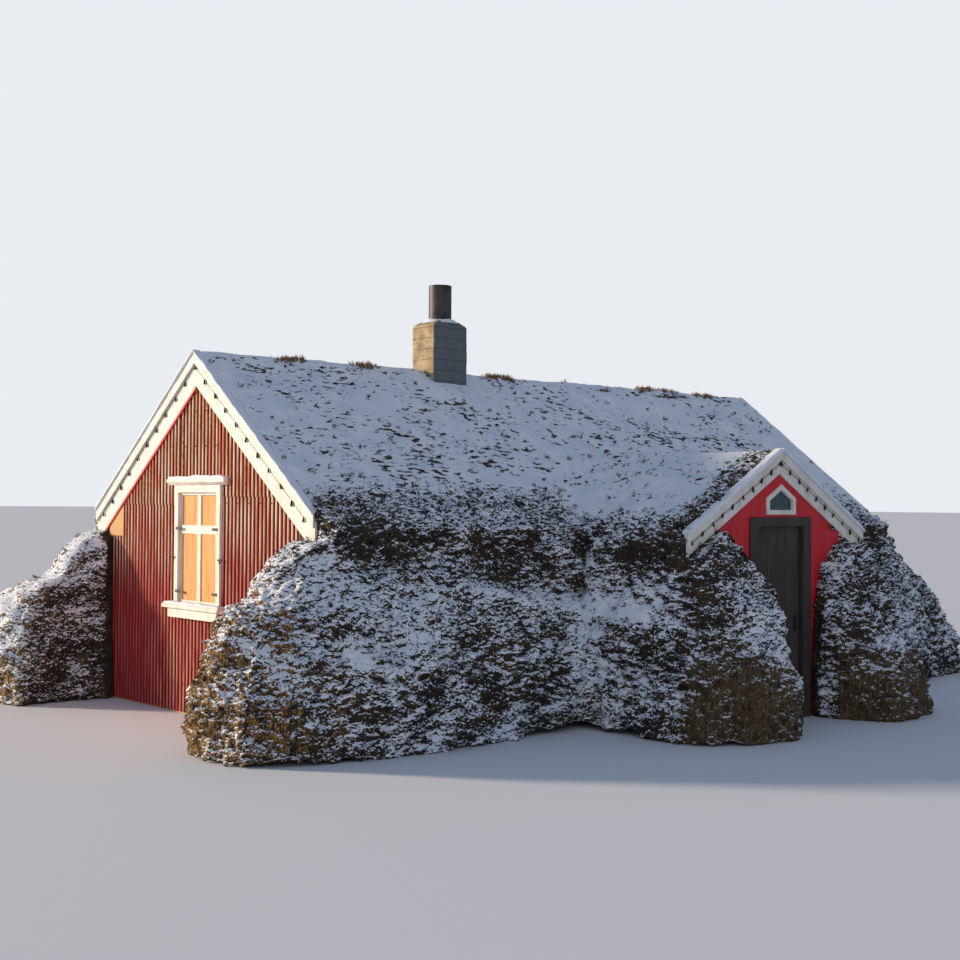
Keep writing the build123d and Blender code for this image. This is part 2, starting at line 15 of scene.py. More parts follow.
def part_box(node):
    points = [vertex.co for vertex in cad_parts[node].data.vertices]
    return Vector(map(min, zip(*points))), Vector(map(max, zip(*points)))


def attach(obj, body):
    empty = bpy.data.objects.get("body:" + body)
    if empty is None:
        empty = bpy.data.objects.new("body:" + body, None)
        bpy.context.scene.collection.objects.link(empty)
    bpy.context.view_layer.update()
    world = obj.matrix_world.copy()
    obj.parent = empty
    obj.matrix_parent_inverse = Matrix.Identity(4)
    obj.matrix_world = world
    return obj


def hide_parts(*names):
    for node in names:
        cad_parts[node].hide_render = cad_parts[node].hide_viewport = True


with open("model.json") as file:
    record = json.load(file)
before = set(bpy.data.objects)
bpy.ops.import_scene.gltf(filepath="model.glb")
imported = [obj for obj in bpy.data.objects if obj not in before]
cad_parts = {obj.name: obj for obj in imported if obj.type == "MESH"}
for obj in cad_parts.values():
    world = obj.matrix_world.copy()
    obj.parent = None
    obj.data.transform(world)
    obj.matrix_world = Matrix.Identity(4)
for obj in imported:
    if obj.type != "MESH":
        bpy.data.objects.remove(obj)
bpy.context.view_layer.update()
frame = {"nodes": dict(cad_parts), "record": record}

# The part's own sizes that the pieces here follow
RIDGE = 4.2
EAVE = 2.35
HALF_SPAN = 2.4
ROOM_HALF = 2.1
ROOF_DEPTH = 0.38
GABLE_SPACING = 9.82
PORCH_X = 4.9
PORCH_RIDGE = 3.1
PORCH_EAVE = 2.16
PORCH_HALF = 1.65
PORCH_FRONT = -4.5
DOOR_X = 4.95
PASSAGE_HALF = 0.58
MAIN_SLOPE = (RIDGE - EAVE) / HALF_SPAN
PORCH_SLOPE = (PORCH_RIDGE - PORCH_EAVE) / PORCH_HALF

ROOF_WEST = -0.0716
ROOF_EAST = GABLE_SPACING - ROOF_WEST
BARGEBOARD = 0.41
TAIL_LEVEL = 2.07
PORCH_DEPTH = 0.25
PORCH_BARGEBOARD = 0.27
PORCH_FACE = -4.444

# Gable window
WINDOW_Y = -0.057
WINDOW_HALF = 0.505
WINDOW_LOW = 1.28
WINDOW_HIGH = 2.65
CASING = 0.072

# Turf and snow: grain is the size of the skins' cells, and CLEAR how far turf keeps off the boards
FRONT_GRAIN = 0.0255
REAR_GRAIN = 0.048
CHIMNEY_GRAIN = 0.012
EASE_ROUNDS = 2
DRAPE_ROUNDS = 14
TURF_LUMP = (0.05, 0.05, 0.038)
CLEAR = 0.005
BEHIND_PORCH = 0.045
SNOW_THICK = 0.012
FRONT_CUTS = (2.4, PORCH_X, 7.4)
REAR_CUTS = (PORCH_X,)

# How far the corner gullies run out from the passage, on each side, and from the room's wall
GULLY_WEST = 1.61
GULLY_EAST = 1.91
GULLY_FRONT = 1.38

# What of the roofs' boards lies on the turf walls: (node, plane, side taken off)
EAVE_BOARDS = {
    "front": (
        ("main_roof_boards_front", (0, -ROOM_HALF, 0), (0, 1, 0)),
        ("porch_roof_boards_west", (DOOR_X - PASSAGE_HALF, 0, 0), (1, 0, 0)),
        ("porch_roof_boards_east", (DOOR_X + PASSAGE_HALF, 0, 0), (-1, 0, 0)),
    ),
    "rear": (("main_roof_boards_rear", (0, ROOM_HALF, 0), (0, -1, 0)),),
}

# Heaped sods at the foot of each valley, where the two eaves meet: (centre, half sizes)
CORNER_SODS = {
    "front": (
        ((3.0, -2.62, 1.72), (0.5, 0.42, 0.5)),
        ((6.8, -2.62, 1.72), (0.5, 0.42, 0.5)),
    ),
    "rear": (),
}

# Crest of the roof, which both sides' turf runs over, and its stretches in X beside the chimney
CREST_HALF = 0.14
CREST_DEEP = 0.1
CREST = [(0, RIDGE)]
CREST_FOOT = RIDGE - MAIN_SLOPE * CREST_HALF
CREST += [(side * CREST_HALF, CREST_FOOT - under) for side in (-1, 1) for under in (0, CREST_DEEP)]
CRESTS = ((ROOF_WEST, 3.24), (3.86, ROOF_EAST))

# Whiter and barer parts of the front wall and, round the corner, of the porch's west wall:
# (length along the walls, z, half width, half height, snow more or less)
DRIFTS = (
    (-0.6, 1.75, 0.6, 0.3, 0.28),
    (0.5, 1.45, 0.8, 0.25, 0.35),
    (1.7, 1.5, 0.6, 0.2, 0.2),
    (1.6, 0.85, 0.6, 0.3, -0.15),
    (2.5, 0.8, 0.6, 0.3, -0.45),
    (2.2, 1.75, 0.7, 0.15, -0.4),
    (0.15, 2.2, 0.35, 0.2, -0.6),
    (4.0, 1.9, 0.65, 0.26, -0.6),
    (4.5, 1.5, 0.4, 0.22, -0.5),
    (3.7, 1.32, 0.3, 0.12, 0.3),
)

# Stretches of eave, in X, where the roof's turf drapes over the head of the wall
DRAPES = {
    "front": ((ROOF_WEST, 3.5), (6.3, ROOF_EAST)),
    "rear": ((ROOF_WEST, ROOF_EAST),),
}

# Turf nodes of each skin
FRONT_TURF = (
    "front_turf_wall_west",
    "front_turf_wall_east",
    "front_flank_west",
    "front_flank_east",
    "porch_turf_wall_west",
    "porch_turf_wall_east",
    "porch_flank_west",
    "porch_flank_east",
    "main_roof_turf_front",
    "porch_roof_turf_west",
    "porch_roof_turf_east",
)
REAR_TURF = ("rear_turf_wall", "rear_flank_west", "rear_flank_east", "main_roof_turf_rear")

# Grass: tufts tried on each piece of skin, the share of them on the rear, and where the ridge has them
TUFTS = 3800
TUFTS_REAR = 0.5
RIDGE_TUFTS = (1.15, 2.3, 4.5, 4.7, 7.6, 8.1, 8.9)

# Corrugated iron: the upper sheets start at LAP_REAR and LAP_FRONT, and the lower end LAP above that
PITCH = 0.076
WAVE = 0.018
SHEET_OUT = 0.0713
IRON = 0.0015
WAVE_STEPS = 10
LAP_REAR = 2.42
LAP_FRONT = 2.52
LAP = 0.1
LAP_OUT = 0.009
SHEET_FOOT = 0.02
NAIL_ROWS = (0.35, 1.2, 2.45, 3.1, 3.5)
NAIL = 0.007

# Boards, the gaps between them and how far their edges are eased
PORCH_BOARD = 0.13
DOOR_PLANK = 0.17
BOARD_GAP = 0.004
ARRIS = 0.004
FINE_ARRIS = 0.003
SASH_ARRIS = 0.002

# Trims of the gables: SEAM is the gap to what a trim lies against, and CORNER_BOARD_Y an edge's place
SEAM = 0.001
TRIM_ARRIS = 0.002
BATTEN = 0.03
CORNER_BOARD_Y = 1.74
CORNER_BOARD = 0.012
TAIL_HALF = 0.03
TAIL_THICK = 0.024
TAIL_LONG = 0.16
TAIL_DROP = 0.13

# Iron fittings of the gable windows: how far out from the sheets' crests they lie, sunk a little back
FITTING_OUT = 0.034
FITTING_SUNK = 0.001
HINGE_ABOVE_SILL = 0.14
HINGE_UPPER = 2.15
HINGE_THICK = 0.006
HINGE_HALF = 0.016
HOOK_THICK = 0.012
HOOK_LOW = 1.77
HOOK_BAR = 1.8
HOOK_TOP = 1.82

# Strings of lights: from lamp to lamp, and how far the cable sags between them
WEST_LAMPS = 0.28
WEST_SAG = 0.006
PORCH_LAMPS = 0.2
PORCH_SAG = 0.022
CABLE_RADIUS = 0.003
BULB_RADIUS = 0.014

# Snow on ledges: (width, height), sunk a little into what it lies on
VERGE_SNOW = (0.1, 0.028)
SILL_SNOW = (0.1, 0.022)
CORNICE_SNOW = (0.07, 0.04)
PORCH_SNOW = (0.12, 0.045)
SUNK = 0.01

# Lamps: (name, strength, angle across in degrees, colour, direction it shines)
LAMPS = (
    ("low sun", 4.6, 6, (1.0, 0.82, 0.62), (0.60, -0.80, -0.23)),
    ("soft front light", 0.5, 70, (1.0, 0.98, 0.96), (0.66, 0.75, -0.05)),
)

# Camera, fitted to the photograph: place, angles in degrees and lens in millimetres
CAMERA_AT = (-8.328, -14.165, 2.487)
CAMERA_HEADING = 48.33
CAMERA_PITCH = 0.88
CAMERA_ROLL = 0.42
LENS = 52.5

seed = random.Random(11)


def linear(code):
    """Linear colour of an sRGB hex value."""
    parts = [int(code[i : i + 2], 16) / 255 for i in (1, 3, 5)]
    return tuple(c / 12.92 if c <= 0.04045 else ((c + 0.055) / 1.055) ** 2.4 for c in parts) + (1.0,)


def add(tree, kind, inputs=None, **settings):
    """Adds a node. Settings are its own. Inputs are values, hex colours or other nodes' outputs."""
    node = tree.nodes.new("ShaderNode" + kind)
    for name, value in settings.items():
        setattr(node, name, value)
    for name, value in (inputs or {}).items():
        if isinstance(value, bpy.types.NodeSocket):
            tree.links.new(value, node.inputs[name])
        else:
            node.inputs[name].default_value = linear(value) if isinstance(value, str) else value
    return node


# Settings of the nodes used most: Map Range takes input 0 smoothly from 0 at input 1 to 1 at input 2,
# and Mix goes from colour 6 to colour 7 by input 0
STEP = {"interpolation_type": "SMOOTHSTEP"}
COLOURS = {"data_type": "RGBA"}


def material(name):
    """Empty material with its shader and the place on the object: (material, tree, shader, place)."""
    made = bpy.data.materials.new(name)
    made.use_nodes = True
    tree = made.node_tree
    return made, tree, tree.nodes["Principled BSDF"], add(tree, "TexCoord").outputs["Object"]


def pattern(tree, place, size, detail=3.0, rough=0.55):
    """Noise from 0 to 1 whose features are about as large as size, in metres along each axis."""
    scaled = add(tree, "Mapping", {"Vector": place, "Scale": [1 / s for s in size]}).outputs[0]
    inputs = {"Vector": scaled, "Detail": detail, "Roughness": rough, "Scale": 1.0}
    return add(tree, "TexNoise", inputs).outputs[0]


def coats(tree, colour, *layers):
    """Lays colours over one another, each from the low to the high of its pattern:
    (pattern, low, high, colour)."""
    for share, low, high, over in layers:
        share = add(tree, "MapRange", {0: share, 1: low, 2: high}, **STEP).outputs[0]
        colour = add(tree, "Mix", {0: share, 6: colour, 7: over}, **COLOURS).outputs[2]
    return colour


def finish(tree, shader, colour, roughness, height=None, distance=0.001):
    """Sets the shader's colour and roughness, and a relief of that depth in metres."""
    tree.links.new(colour, shader.inputs["Base Color"])
    shader.inputs["Roughness"].default_value = roughness
    if height is not None:
        bump = add(tree, "Bump", {"Height": height, "Distance": distance, "Strength": 1.0})
        tree.links.new(bump.outputs[0], shader.inputs["Normal"])


def turf_colour(tree, place, patches, lumps):
    """Roots and dead grass in strands, paler low before the porch, and on the west flanks golden straw
    in painted sunlight where they face west, with painted shade between its clumps. The strands are 18 mm
    wide, coarser than grass, so that they show."""
    strands = pattern(tree, place, (0.018, 0.018, 0.16))
    roots = coats(tree, "#14100b", (strands, 0.32, 0.68, "#362b1b"))
    grassy = coats(tree, "#231b10", (strands, 0.3, 0.7, "#5a4926"))
    sods = coats(tree, roots, (patches, 0.42, 0.7, grassy))
    turned = add(tree, "VectorMath", {0: place, 1: (-1, -1, -1)}, operation="MULTIPLY").outputs[0]
    west, front, down = add(tree, "SeparateXYZ", {0: turned}).outputs[:3]
    before = add(tree, "MapRange", {0: front, 1: 4.6, 2: 4.85}, **STEP).outputs[0]
    foot = add(tree, "MapRange", {0: down, 1: -1.1, 2: -0.7}, **STEP).outputs[0]
    low = add(tree, "Math", {0: before, 1: foot}, operation="MULTIPLY").outputs[0]
    pale = coats(tree, "#2b2114", (strands, 0.3, 0.75, "#776039"))
    sods = add(tree, "Mix", {0: low, 6: sods, 7: pale}, **COLOURS).outputs[2]
    # Painted sunlight: the faces of the west flanks that are turned west
    normal = add(tree, "NewGeometry").outputs["Normal"]
    east = add(tree, "SeparateXYZ", {0: normal}).outputs[0]
    turned = add(tree, "Math", {0: east, 1: -1.0}, operation="MULTIPLY").outputs[0]
    beyond = add(tree, "MapRange", {0: west, 1: 0.1, 2: 0.9}, **STEP).outputs[0]
    westward = add(tree, "MapRange", {0: turned, 1: 0.1, 2: 0.6}, **STEP).outputs[0]
    sunny = add(tree, "Math", {0: beyond, 1: westward}, operation="MULTIPLY").outputs[0]
    # Golden straw as painted sunlight, darkened by painted shade in the hollows between the clumps
    dry_and_sunlit = coats(tree, "#24170a", (strands, 0.35, 0.68, "#b98a48"))
    dry_and_sunlit = coats(tree, "#1d1409", (lumps, 0.3, 0.55, dry_and_sunlit))
    return add(tree, "Mix", {0: sunny, 6: sods, 7: dry_and_sunlit}, **COLOURS).outputs[2]


def caught_snow(tree, place, lumps):
    """Wind-blown snow from 0 to 1: on the ledges of a wall's lumps, and in strokes on the roofs."""
    above = add(tree, "VectorMath", {0: place, 1: (0, 0, 0.012)}, operation="ADD").outputs[0]
    higher = pattern(tree, above, TURF_LUMP, 4.0, 0.6)
    ledges = add(tree, "Math", {0: lumps, 1: higher}, operation="SUBTRACT").outputs[0]
    blades = pattern(tree, place, (0.022, 0.022, 0.03), 3.0)
    flecks = add(tree, "Math", {0: ledges, 1: 2.6, 2: blades}, operation="MULTIPLY_ADD").outputs[0]
    heaps = pattern(tree, place, (0.11, 0.11, 0.09))
    heaps = add(tree, "Math", {0: heaps, 1: 0.5}, operation="SUBTRACT").outputs[0]
    flecks = add(tree, "Math", {0: heaps, 1: 0.9, 2: flecks}, operation="MULTIPLY_ADD").outputs[0]
    strokes = pattern(tree, place, (0.12, 0.075, 0.04), 5.0, 0.6)
    roof = add(tree, "Attribute", attribute_name="roof").outputs["Fac"]
    bare = add(tree, "Mix", {0: roof, 2: flecks, 3: strokes}).outputs[0]
    lying = add(tree, "Attribute", attribute_name="snow").outputs["Fac"]
    broken = add(tree, "Math", {0: bare, 1: 2.4, 2: lying}, operation="MULTIPLY_ADD").outputs[0]
    return add(tree, "MapRange", {0: broken, 1: 1.64, 2: 1.76}, **STEP).outputs[0]


def turf_finish():
    """Laid turf sods: brown roots and dead grass hanging in strands, with wind-blown snow caught on
    the ledges."""
    made, tree, shader, place = material("turf sods, grassy, snow dusted")
    patches = pattern(tree, place, (0.3, 0.3, 0.22))
    lumps = pattern(tree, place, TURF_LUMP, 4.0, 0.6)
    sods = turf_colour(tree, place, patches, lumps)
    snow = caught_snow(tree, place, lumps)
    # Snow nearly white, its slight blue painted sky shade
    frost = coats(tree, "#dfe6f1", (patches, 0.3, 0.7, "#f1f3f8"))
    colour = add(tree, "Mix", {0: snow, 6: sods, 7: frost}, **COLOURS).outputs[2]
    thick = add(tree, "Math", {0: snow, 1: 0.8, 2: lumps}, operation="MULTIPLY_ADD").outputs[0]
    finish(tree, shader, colour, 0.85, thick, 0.014)
    return made


def snow_finish():
    """Settled snow: matt, nearly white, its slight blue painted sky shade, with a crust of 30 mm lumps."""
    made, tree, shader, place = material("settled snow, crusted")
    crust = pattern(tree, place, (0.03, 0.03, 0.03))
    colour = add(tree, "Mix", {0: crust, 6: "#dde5f0", 7: "#f3f5f9"}, **COLOURS).outputs[2]
    finish(tree, shader, colour, 0.8, crust, 0.004)
    return made


def grass_finish():
    """Dead grass blades: straw and brown, each clump of 80 mm its own tone, with painted sunlight
    paler on faces turned up and on the blades up on the ridge.
    """
    made, tree, shader, place = material("dead grass, dry")
    clump = pattern(tree, place, (0.08, 0.08, 0.08), 2.0)
    colour = coats(tree, "#17100a", (clump, 0.3, 0.7, "#3d2d18"))
    # Painted sunlight: paler on faces turned up, and on the tufts up on the ridge
    normal = add(tree, "NewGeometry").outputs["Normal"]
    upward = add(tree, "SeparateXYZ", {0: normal}).outputs[2]
    colour = coats(tree, colour, (upward, 0.2, 1.6, "#7d6238"))
    rise = add(tree, "SeparateXYZ", {0: place}).outputs[2]
    colour = coats(tree, colour, (rise, 4.1, 4.18, "#8a6b40"))
    finish(tree, shader, colour, 0.9)
    return made


def red_iron_finish():
    """Old red paint on corrugated iron: worn pale on the crests, its palest wear also painted sun glints,
    painted shade dark in the troughs, rust weeping down in streaks 50 mm wide, and a painted shadow
    of the rear flank, even dark red, over the foot towards the rear."""
    made, tree, shader, place = material("corrugated iron, old red paint")
    crest = add(tree, "Attribute", attribute_name="crest").outputs["Fac"]
    wear_and_glint = pattern(tree, place, (0.3, 0.05, 0.5), 4.0)
    streak = pattern(tree, place, (0.4, 0.05, 1.1), 5.0, 0.7)
    fleck = pattern(tree, place, (0.02, 0.02, 0.05), 3.0)
    rearwards, rise = add(tree, "SeparateXYZ", {0: place}).outputs[1:]
    sound = coats(tree, "#cb3335", (rise, 1.2, 2.6, "#e56c43"))
    # Worn paint whose palest, cream colours are also a painted highlight of sun glints on the crests
    faded = coats(tree, "#ec8372", (rise, 1.2, 2.6, "#ffd2b3"))
    paint = coats(tree, sound, (wear_and_glint, 0.34, 0.62, faded))
    rust = coats(tree, "#b35a1a", (fleck, 0.3, 0.7, "#f6c080"))
    upper = add(tree, "MapRange", {0: rise, 1: 1.9, 2: 3.4}, **STEP).outputs[0]
    old = add(tree, "Math", {0: upper, 1: 0.1, 2: streak}, operation="MULTIPLY_ADD").outputs[0]
    paint = coats(tree, paint, (old, 0.58, 0.68, rust))
    # Painted shade: dark red in the troughs of the corrugation
    paint = coats(tree, "#3f0406", (crest, 0.38, 0.74, paint))
    # Painted shadow of the rear flank: even dark red over the low rear of the gable
    over = add(tree, "MapRange", {0: rise, 1: 1.2, 2: 2.1}, **STEP).outputs[0]
    low = add(tree, "Math", {0: 0.7, 1: over}, operation="SUBTRACT", use_clamp=True).outputs[0]
    rear = add(tree, "MapRange", {0: rearwards, 1: 0.5, 2: 1.3}, **STEP).outputs[0]
    flank_shadow = add(tree, "Math", {0: rear, 1: low}, operation="MULTIPLY").outputs[0]
    paint = add(tree, "Mix", {0: flank_shadow, 6: paint, 7: "#93161d"}, **COLOURS).outputs[2]
    finish(tree, shader, paint, 0.85, fleck, 0.0006)
    return made


def concrete_finish():
    """Old cast concrete: tan and pitted, with painted shade grey on the faces turned to the front,
    and marks of form boards 140 mm high.
    """
    made, tree, shader, place = material("cast concrete, board marked")
    cloud = pattern(tree, place, (0.25, 0.25, 0.2), 5.0, 0.65)
    pits = pattern(tree, place, (0.012, 0.012, 0.012), 3.0)
    rise = add(tree, "SeparateXYZ", {0: place}).outputs[2]
    course = add(tree, "Math", {0: rise, 1: 0.14}, operation="DIVIDE").outputs[0]
    course = add(tree, "Math", {0: course}, operation="FRACT").outputs[0]
    joint = add(tree, "MapRange", {0: course, 1: 0.93, 2: 0.99}, **STEP).outputs[0]
    # Painted shade: faces turned to the front go slate grey
    normal = add(tree, "NewGeometry").outputs["Normal"]
    rearward = add(tree, "SeparateXYZ", {0: normal}).outputs[1]
    front = add(tree, "Math", {0: rearward, 1: -1.0}, operation="MULTIPLY").outputs[0]
    tan = coats(tree, "#8f8064", (cloud, 0.35, 0.65, "#c2ab85"))
    grey = add(tree, "Mix", {0: cloud, 6: "#575d60", 7: "#757b7f"}, **COLOURS).outputs[2]
    cast = coats(tree, tan, (front, 0.3, 0.8, grey), (pits, 0.6, 0.78, "#4f483d"))
    cast = add(tree, "Mix", {0: joint, 6: cast, 7: "#4b463c"}, **COLOURS).outputs[2]
    relief = add(tree, "Math", {0: pits, 1: joint}, operation="SUBTRACT").outputs[0]
    finish(tree, shader, cast, 0.9, relief, 0.004)
    return made


def white_paint_finish():
    """Old white oil paint on sawn boards: creamy, thin along the grain, with grey weather stains."""
    made, tree, shader, place = material("sawn boards, weathered white paint")
    stain = pattern(tree, place, (0.12, 0.12, 0.25), 4.0)
    grain = pattern(tree, place, (0.006, 0.03, 0.03), 3.0)
    paint = coats(tree, "#f1ebe0", (stain, 0.35, 0.8, "#d8cfbf"), (grain, 0.66, 0.8, "#a39a8a"))
    finish(tree, shader, paint, 0.6, grain, 0.0008)
    return made


def plywood_finish():
    """Bare fir plywood: warm orange, with upright grain 8 mm wide and long darker figure."""
    made, tree, shader, place = material("fir plywood, bare")
    grain = pattern(tree, place, (0.2, 0.008, 0.3), 4.0)
    figure = pattern(tree, place, (0.3, 0.06, 0.7), 3.0)
    wood = coats(tree, "#f4b062", (grain, 0.3, 0.75, "#dc9446"), (figure, 0.4, 0.75, "#c97f3c"))
    finish(tree, shader, wood, 0.65, grain, 0.0004)
    return made


def pipe_finish():
    """Glazed clay flue pipe, sooted: dark brown, duller and blacker in patches."""
    made, tree, shader, place = material("clay flue pipe, sooty")
    soot = pattern(tree, place, (0.09, 0.09, 0.14), 4.0)
    clay = coats(tree, "#47433a", (soot, 0.35, 0.7, "#1e1c19"))
    finish(tree, shader, clay, 0.55, soot, 0.001)
    return made


def red_boards_finish():
    """Upright boards in full red paint: even and bright, a little faded in streaks along the grain."""
    made, tree, shader, place = material("planed boards, red paint")
    grain = pattern(tree, place, (0.012, 0.012, 0.4), 3.0)
    fade = pattern(tree, place, (0.14, 0.14, 0.6), 3.0)
    paint = coats(tree, "#d31824", (fade, 0.4, 0.75, "#dd2a32"), (grain, 0.55, 0.8, "#b0151f"))
    finish(tree, shader, paint, 0.55, grain, 0.0008)
    return made


def dark_wood_finish():
    """Tarred planks: brown-black, greyed where the tar is thin, with upright grain."""
    made, tree, shader, place = material("tarred planks")
    grain = pattern(tree, place, (0.01, 0.01, 0.3), 4.0)
    thin = pattern(tree, place, (0.16, 0.16, 0.5), 3.0)
    wood = coats(tree, "#362e2a", (grain, 0.3, 0.75, "#4c433d"), (thin, 0.45, 0.8, "#4b443e"))
    finish(tree, shader, wood, 0.75, grain, 0.001)
    return made


def iron_finish():
    """Forged iron: black, dull, with a brown bloom of rust."""
    made, tree, shader, place = material("forged iron, blackened")
    bloom = pattern(tree, place, (0.015, 0.015, 0.015))
    forged = coats(tree, "#191817", (bloom, 0.5, 0.8, "#3a2418"))
    finish(tree, shader, forged, 0.6, bloom, 0.0004)
    return made


def glass_finish():
    """Old window glass: teal grey that is painted shade of the dark room behind it; glossy, slightly wavy."""
    made, tree, shader, place = material("window glass, old")
    waves = pattern(tree, place, (0.09, 0.09, 0.09), 1.0)
    teal = add(tree, "Mix", {0: waves, 6: "#2f4449", 7: "#3d5358"}, **COLOURS).outputs[2]
    finish(tree, shader, teal, 0.08, waves, 0.0006)
    shader.inputs["IOR"].default_value = 1.52
    return made


def bare_wood_finish():
    """Unpainted spruce gone silver-brown, with grain 10 mm wide."""
    made, tree, shader, place = material("spruce boards, weathered")
    grain = pattern(tree, place, (0.3, 0.01, 0.01), 4.0)
    wood = coats(tree, "#eebf86", (grain, 0.3, 0.7, "#c48f58"))
    finish(tree, shader, wood, 0.8, grain, 0.0008)
    return made


def cable_finish():
    """Rubber cable and lamp caps: black and dull, greyed by frost."""
    made, tree, shader, place = material("rubber, black")
    frost = pattern(tree, place, (0.02, 0.02, 0.02))
    rubber = coats(tree, "#151515", (frost, 0.6, 0.85, "#4a4d50"))
    finish(tree, shader, rubber, 0.6)
    return made


FINISHES = {
    "turf": turf_finish(),
    "red_iron": red_iron_finish(),
    "white_paint": white_paint_finish(),
    "plywood": plywood_finish(),
    "cable": cable_finish(),
    "concrete": concrete_finish(),
    "pipe": pipe_finish(),
    "red_boards": red_boards_finish(),
    "dark_wood": dark_wood_finish(),
    "iron": iron_finish(),
    "glass": glass_finish(),
    "bare_wood": bare_wood_finish(),
}
SNOW = snow_finish()
GRASS = grass_finish()


def mesh_of(name, bm):
    """A mesh of that name with what the bmesh holds, which is freed."""
    mesh = bpy.data.meshes.new(name)
    bm.to_mesh(mesh)
    bm.free()
    return mesh


def joined(bm, part):
    """Adds one bmesh to another and frees it."""
    mesh = mesh_of("part", part)
    bm.from_mesh(mesh)
    bpy.data.meshes.remove(mesh)


def piece(name, bm, slot, body="house", replaces=(), made=None, smooth=None):
    """Turns a bmesh into a named piece on its body, in its slot's finish unless one is given. Smooth is
    the angle over which an edge stays sharp."""
    mesh = mesh_of(name, bm)
    if smooth is not None:
        mesh.shade_smooth()
        mesh.set_sharp_from_angle(angle=smooth)
    obj = bpy.data.objects.new(name, mesh)
    bpy.context.scene.collection.objects.link(obj)
    mesh.materials.append(made or FINISHES[slot])
    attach(obj, body)
    if replaces:
        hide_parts(*replaces)
    return obj


def copied(*nodes):
    """One merged bmesh of the CAD nodes' own meshes."""
    bm = bmesh.new()
    for node in nodes:
        bm.from_mesh(frame["nodes"][node].data)
    bmesh.ops.remove_doubles(bm, verts=bm.verts, dist=0.00005)
    return bm


def box(bm, low, high):
    """Adds a box from its lowest corner to its highest."""
    low, high = Vector(low), Vector(high)
    place = Matrix.Translation((low + high) / 2) @ Matrix.Diagonal((*(high - low), 1))
    bmesh.ops.create_cube(bm, size=1, matrix=place)


def eased(bm, width, segments=2):
    """Rounds every sharp edge by that width."""
    bmesh.ops.dissolve_limit(bm, angle_limit=0.01, verts=bm.verts, edges=bm.edges)
    sharp = [e for e in bm.edges if len(e.link_faces) == 2 and e.calc_face_angle() > 0.5]
    shape = {"affect": "EDGES", "profile": 0.5, "material": -1, "clamp_overlap": True}
    bmesh.ops.bevel(bm, geom=sharp, offset=width, segments=segments, **shape)
    return bm


def prism(bm, outline, x0, x1):
    """Adds a solid between two X planes; the outline's (y, z) points bulge outwards."""
    part = bmesh.new()
    for x in (x0, x1):
        for y, z in outline:
            part.verts.new((x, y, z))
    bmesh.ops.convex_hull(part, input=part.verts)
    joined(bm, part)


def across_gables(bm):
    """Takes what is made for the west gable to the east one."""
    over = Matrix.Translation((GABLE_SPACING, 0, 0)) @ Matrix.Scale(-1, 4, Vector((1, 0, 0)))
    bmesh.ops.transform(bm, matrix=over, verts=bm.verts)
    bmesh.ops.reverse_faces(bm, faces=bm.faces)


def cut(bm, co, no):
    """Takes off what lies beyond a plane and closes the cut."""
    geom = bm.verts[:] + bm.edges[:] + bm.faces[:]
    bmesh.ops.bisect_plane(bm, geom=geom, dist=1e-6, plane_co=co, plane_no=no, clear_outer=True)
    bmesh.ops.holes_fill(bm, edges=[e for e in bm.edges if e.is_boundary])


def rough(p, size, offset=0.0):
    """Soft noise from -1 to 1 with features of that size."""
    return noise.noise(Vector((p.x, p.y, p.z + offset)) / size)


def ramp(value, low, high):
    """0 under low, 1 over high and smooth between them."""
    t = min(max((value - low) / (high - low), 0.0), 1.0)
    return t * t * (3 - 2 * t)


def clumps(p, wide, tall, offset):
    """Soft noise from -1 to 1 whose features are that wide and that tall."""
    return noise.noise(Vector((p.x / wide, p.y / wide, p.z / tall + offset)))


def main_top(y):
    """Height of the main roof's top as the CAD has it."""
    return RIDGE - MAIN_SLOPE * abs(y)


def porch_top(x):
    """Height of the porch roof's top as the CAD has it."""
    return PORCH_RIDGE - PORCH_SLOPE * abs(x - PORCH_X)


def remeshed(name, bm, grain):
    """The closed surface of everything in the mesh, in even cells of that size."""
    obj = bpy.data.objects.new(name, mesh_of(name, bm))
    bpy.context.scene.collection.objects.link(obj)
    remesh = obj.modifiers.new("grain", "REMESH")
    remesh.mode, remesh.voxel_size = "VOXEL", grain
    fine = bpy.data.meshes.new_from_object(obj.evaluated_get(bpy.context.evaluated_depsgraph_get()))
    bpy.data.objects.remove(obj)
    bm = bmesh.new()
    bm.from_mesh(fine)
    return bm


def smoothed(bm, verts, rounds):
    """Draws each vertex halfway to the middle of its neighbours, several times over."""
    for _ in range(rounds):
        bmesh.ops.smooth_vert(bm, verts=verts, factor=0.5, use_axis_x=True, use_axis_y=True, use_axis_z=True)


def outside(p):
    """0 on faces turned to the rooms and the porch passage, 1 on the weather side of the turf."""
    room = max(
        abs(p.y) - ROOM_HALF,
        0.8 * (p.z - main_top(p.y) + ROOF_DEPTH),
        ROOF_WEST - 0.02 - p.x,
        p.x - ROOF_EAST - 0.02,
    )
    passage = max(
        abs(p.x - DOOR_X) - PASSAGE_HALF,
        0.87 * (p.z - porch_top(p.x) + PORCH_DEPTH),
        PORCH_FACE - 0.02 - p.y,
        p.y + ROOM_HALF / 2,
    )
    return ramp(room, 0.02, 0.16) * ramp(passage, 0.02, 0.16)


def by_eaves(p):
    """Whether a place is near the edge where a roof's turf drapes over the wall under it."""
    main = 1.9 < abs(p.y) < 2.85 and 1.7 < p.z < 2.75 and ROOF_WEST + 0.1 < p.x < ROOF_EAST - 0.1
    porch = 1.2 < abs(p.x - PORCH_X) < 2.1 and 1.75 < p.z < 2.5 and PORCH_FACE + 0.1 < p.y < -2.3
    return main or porch


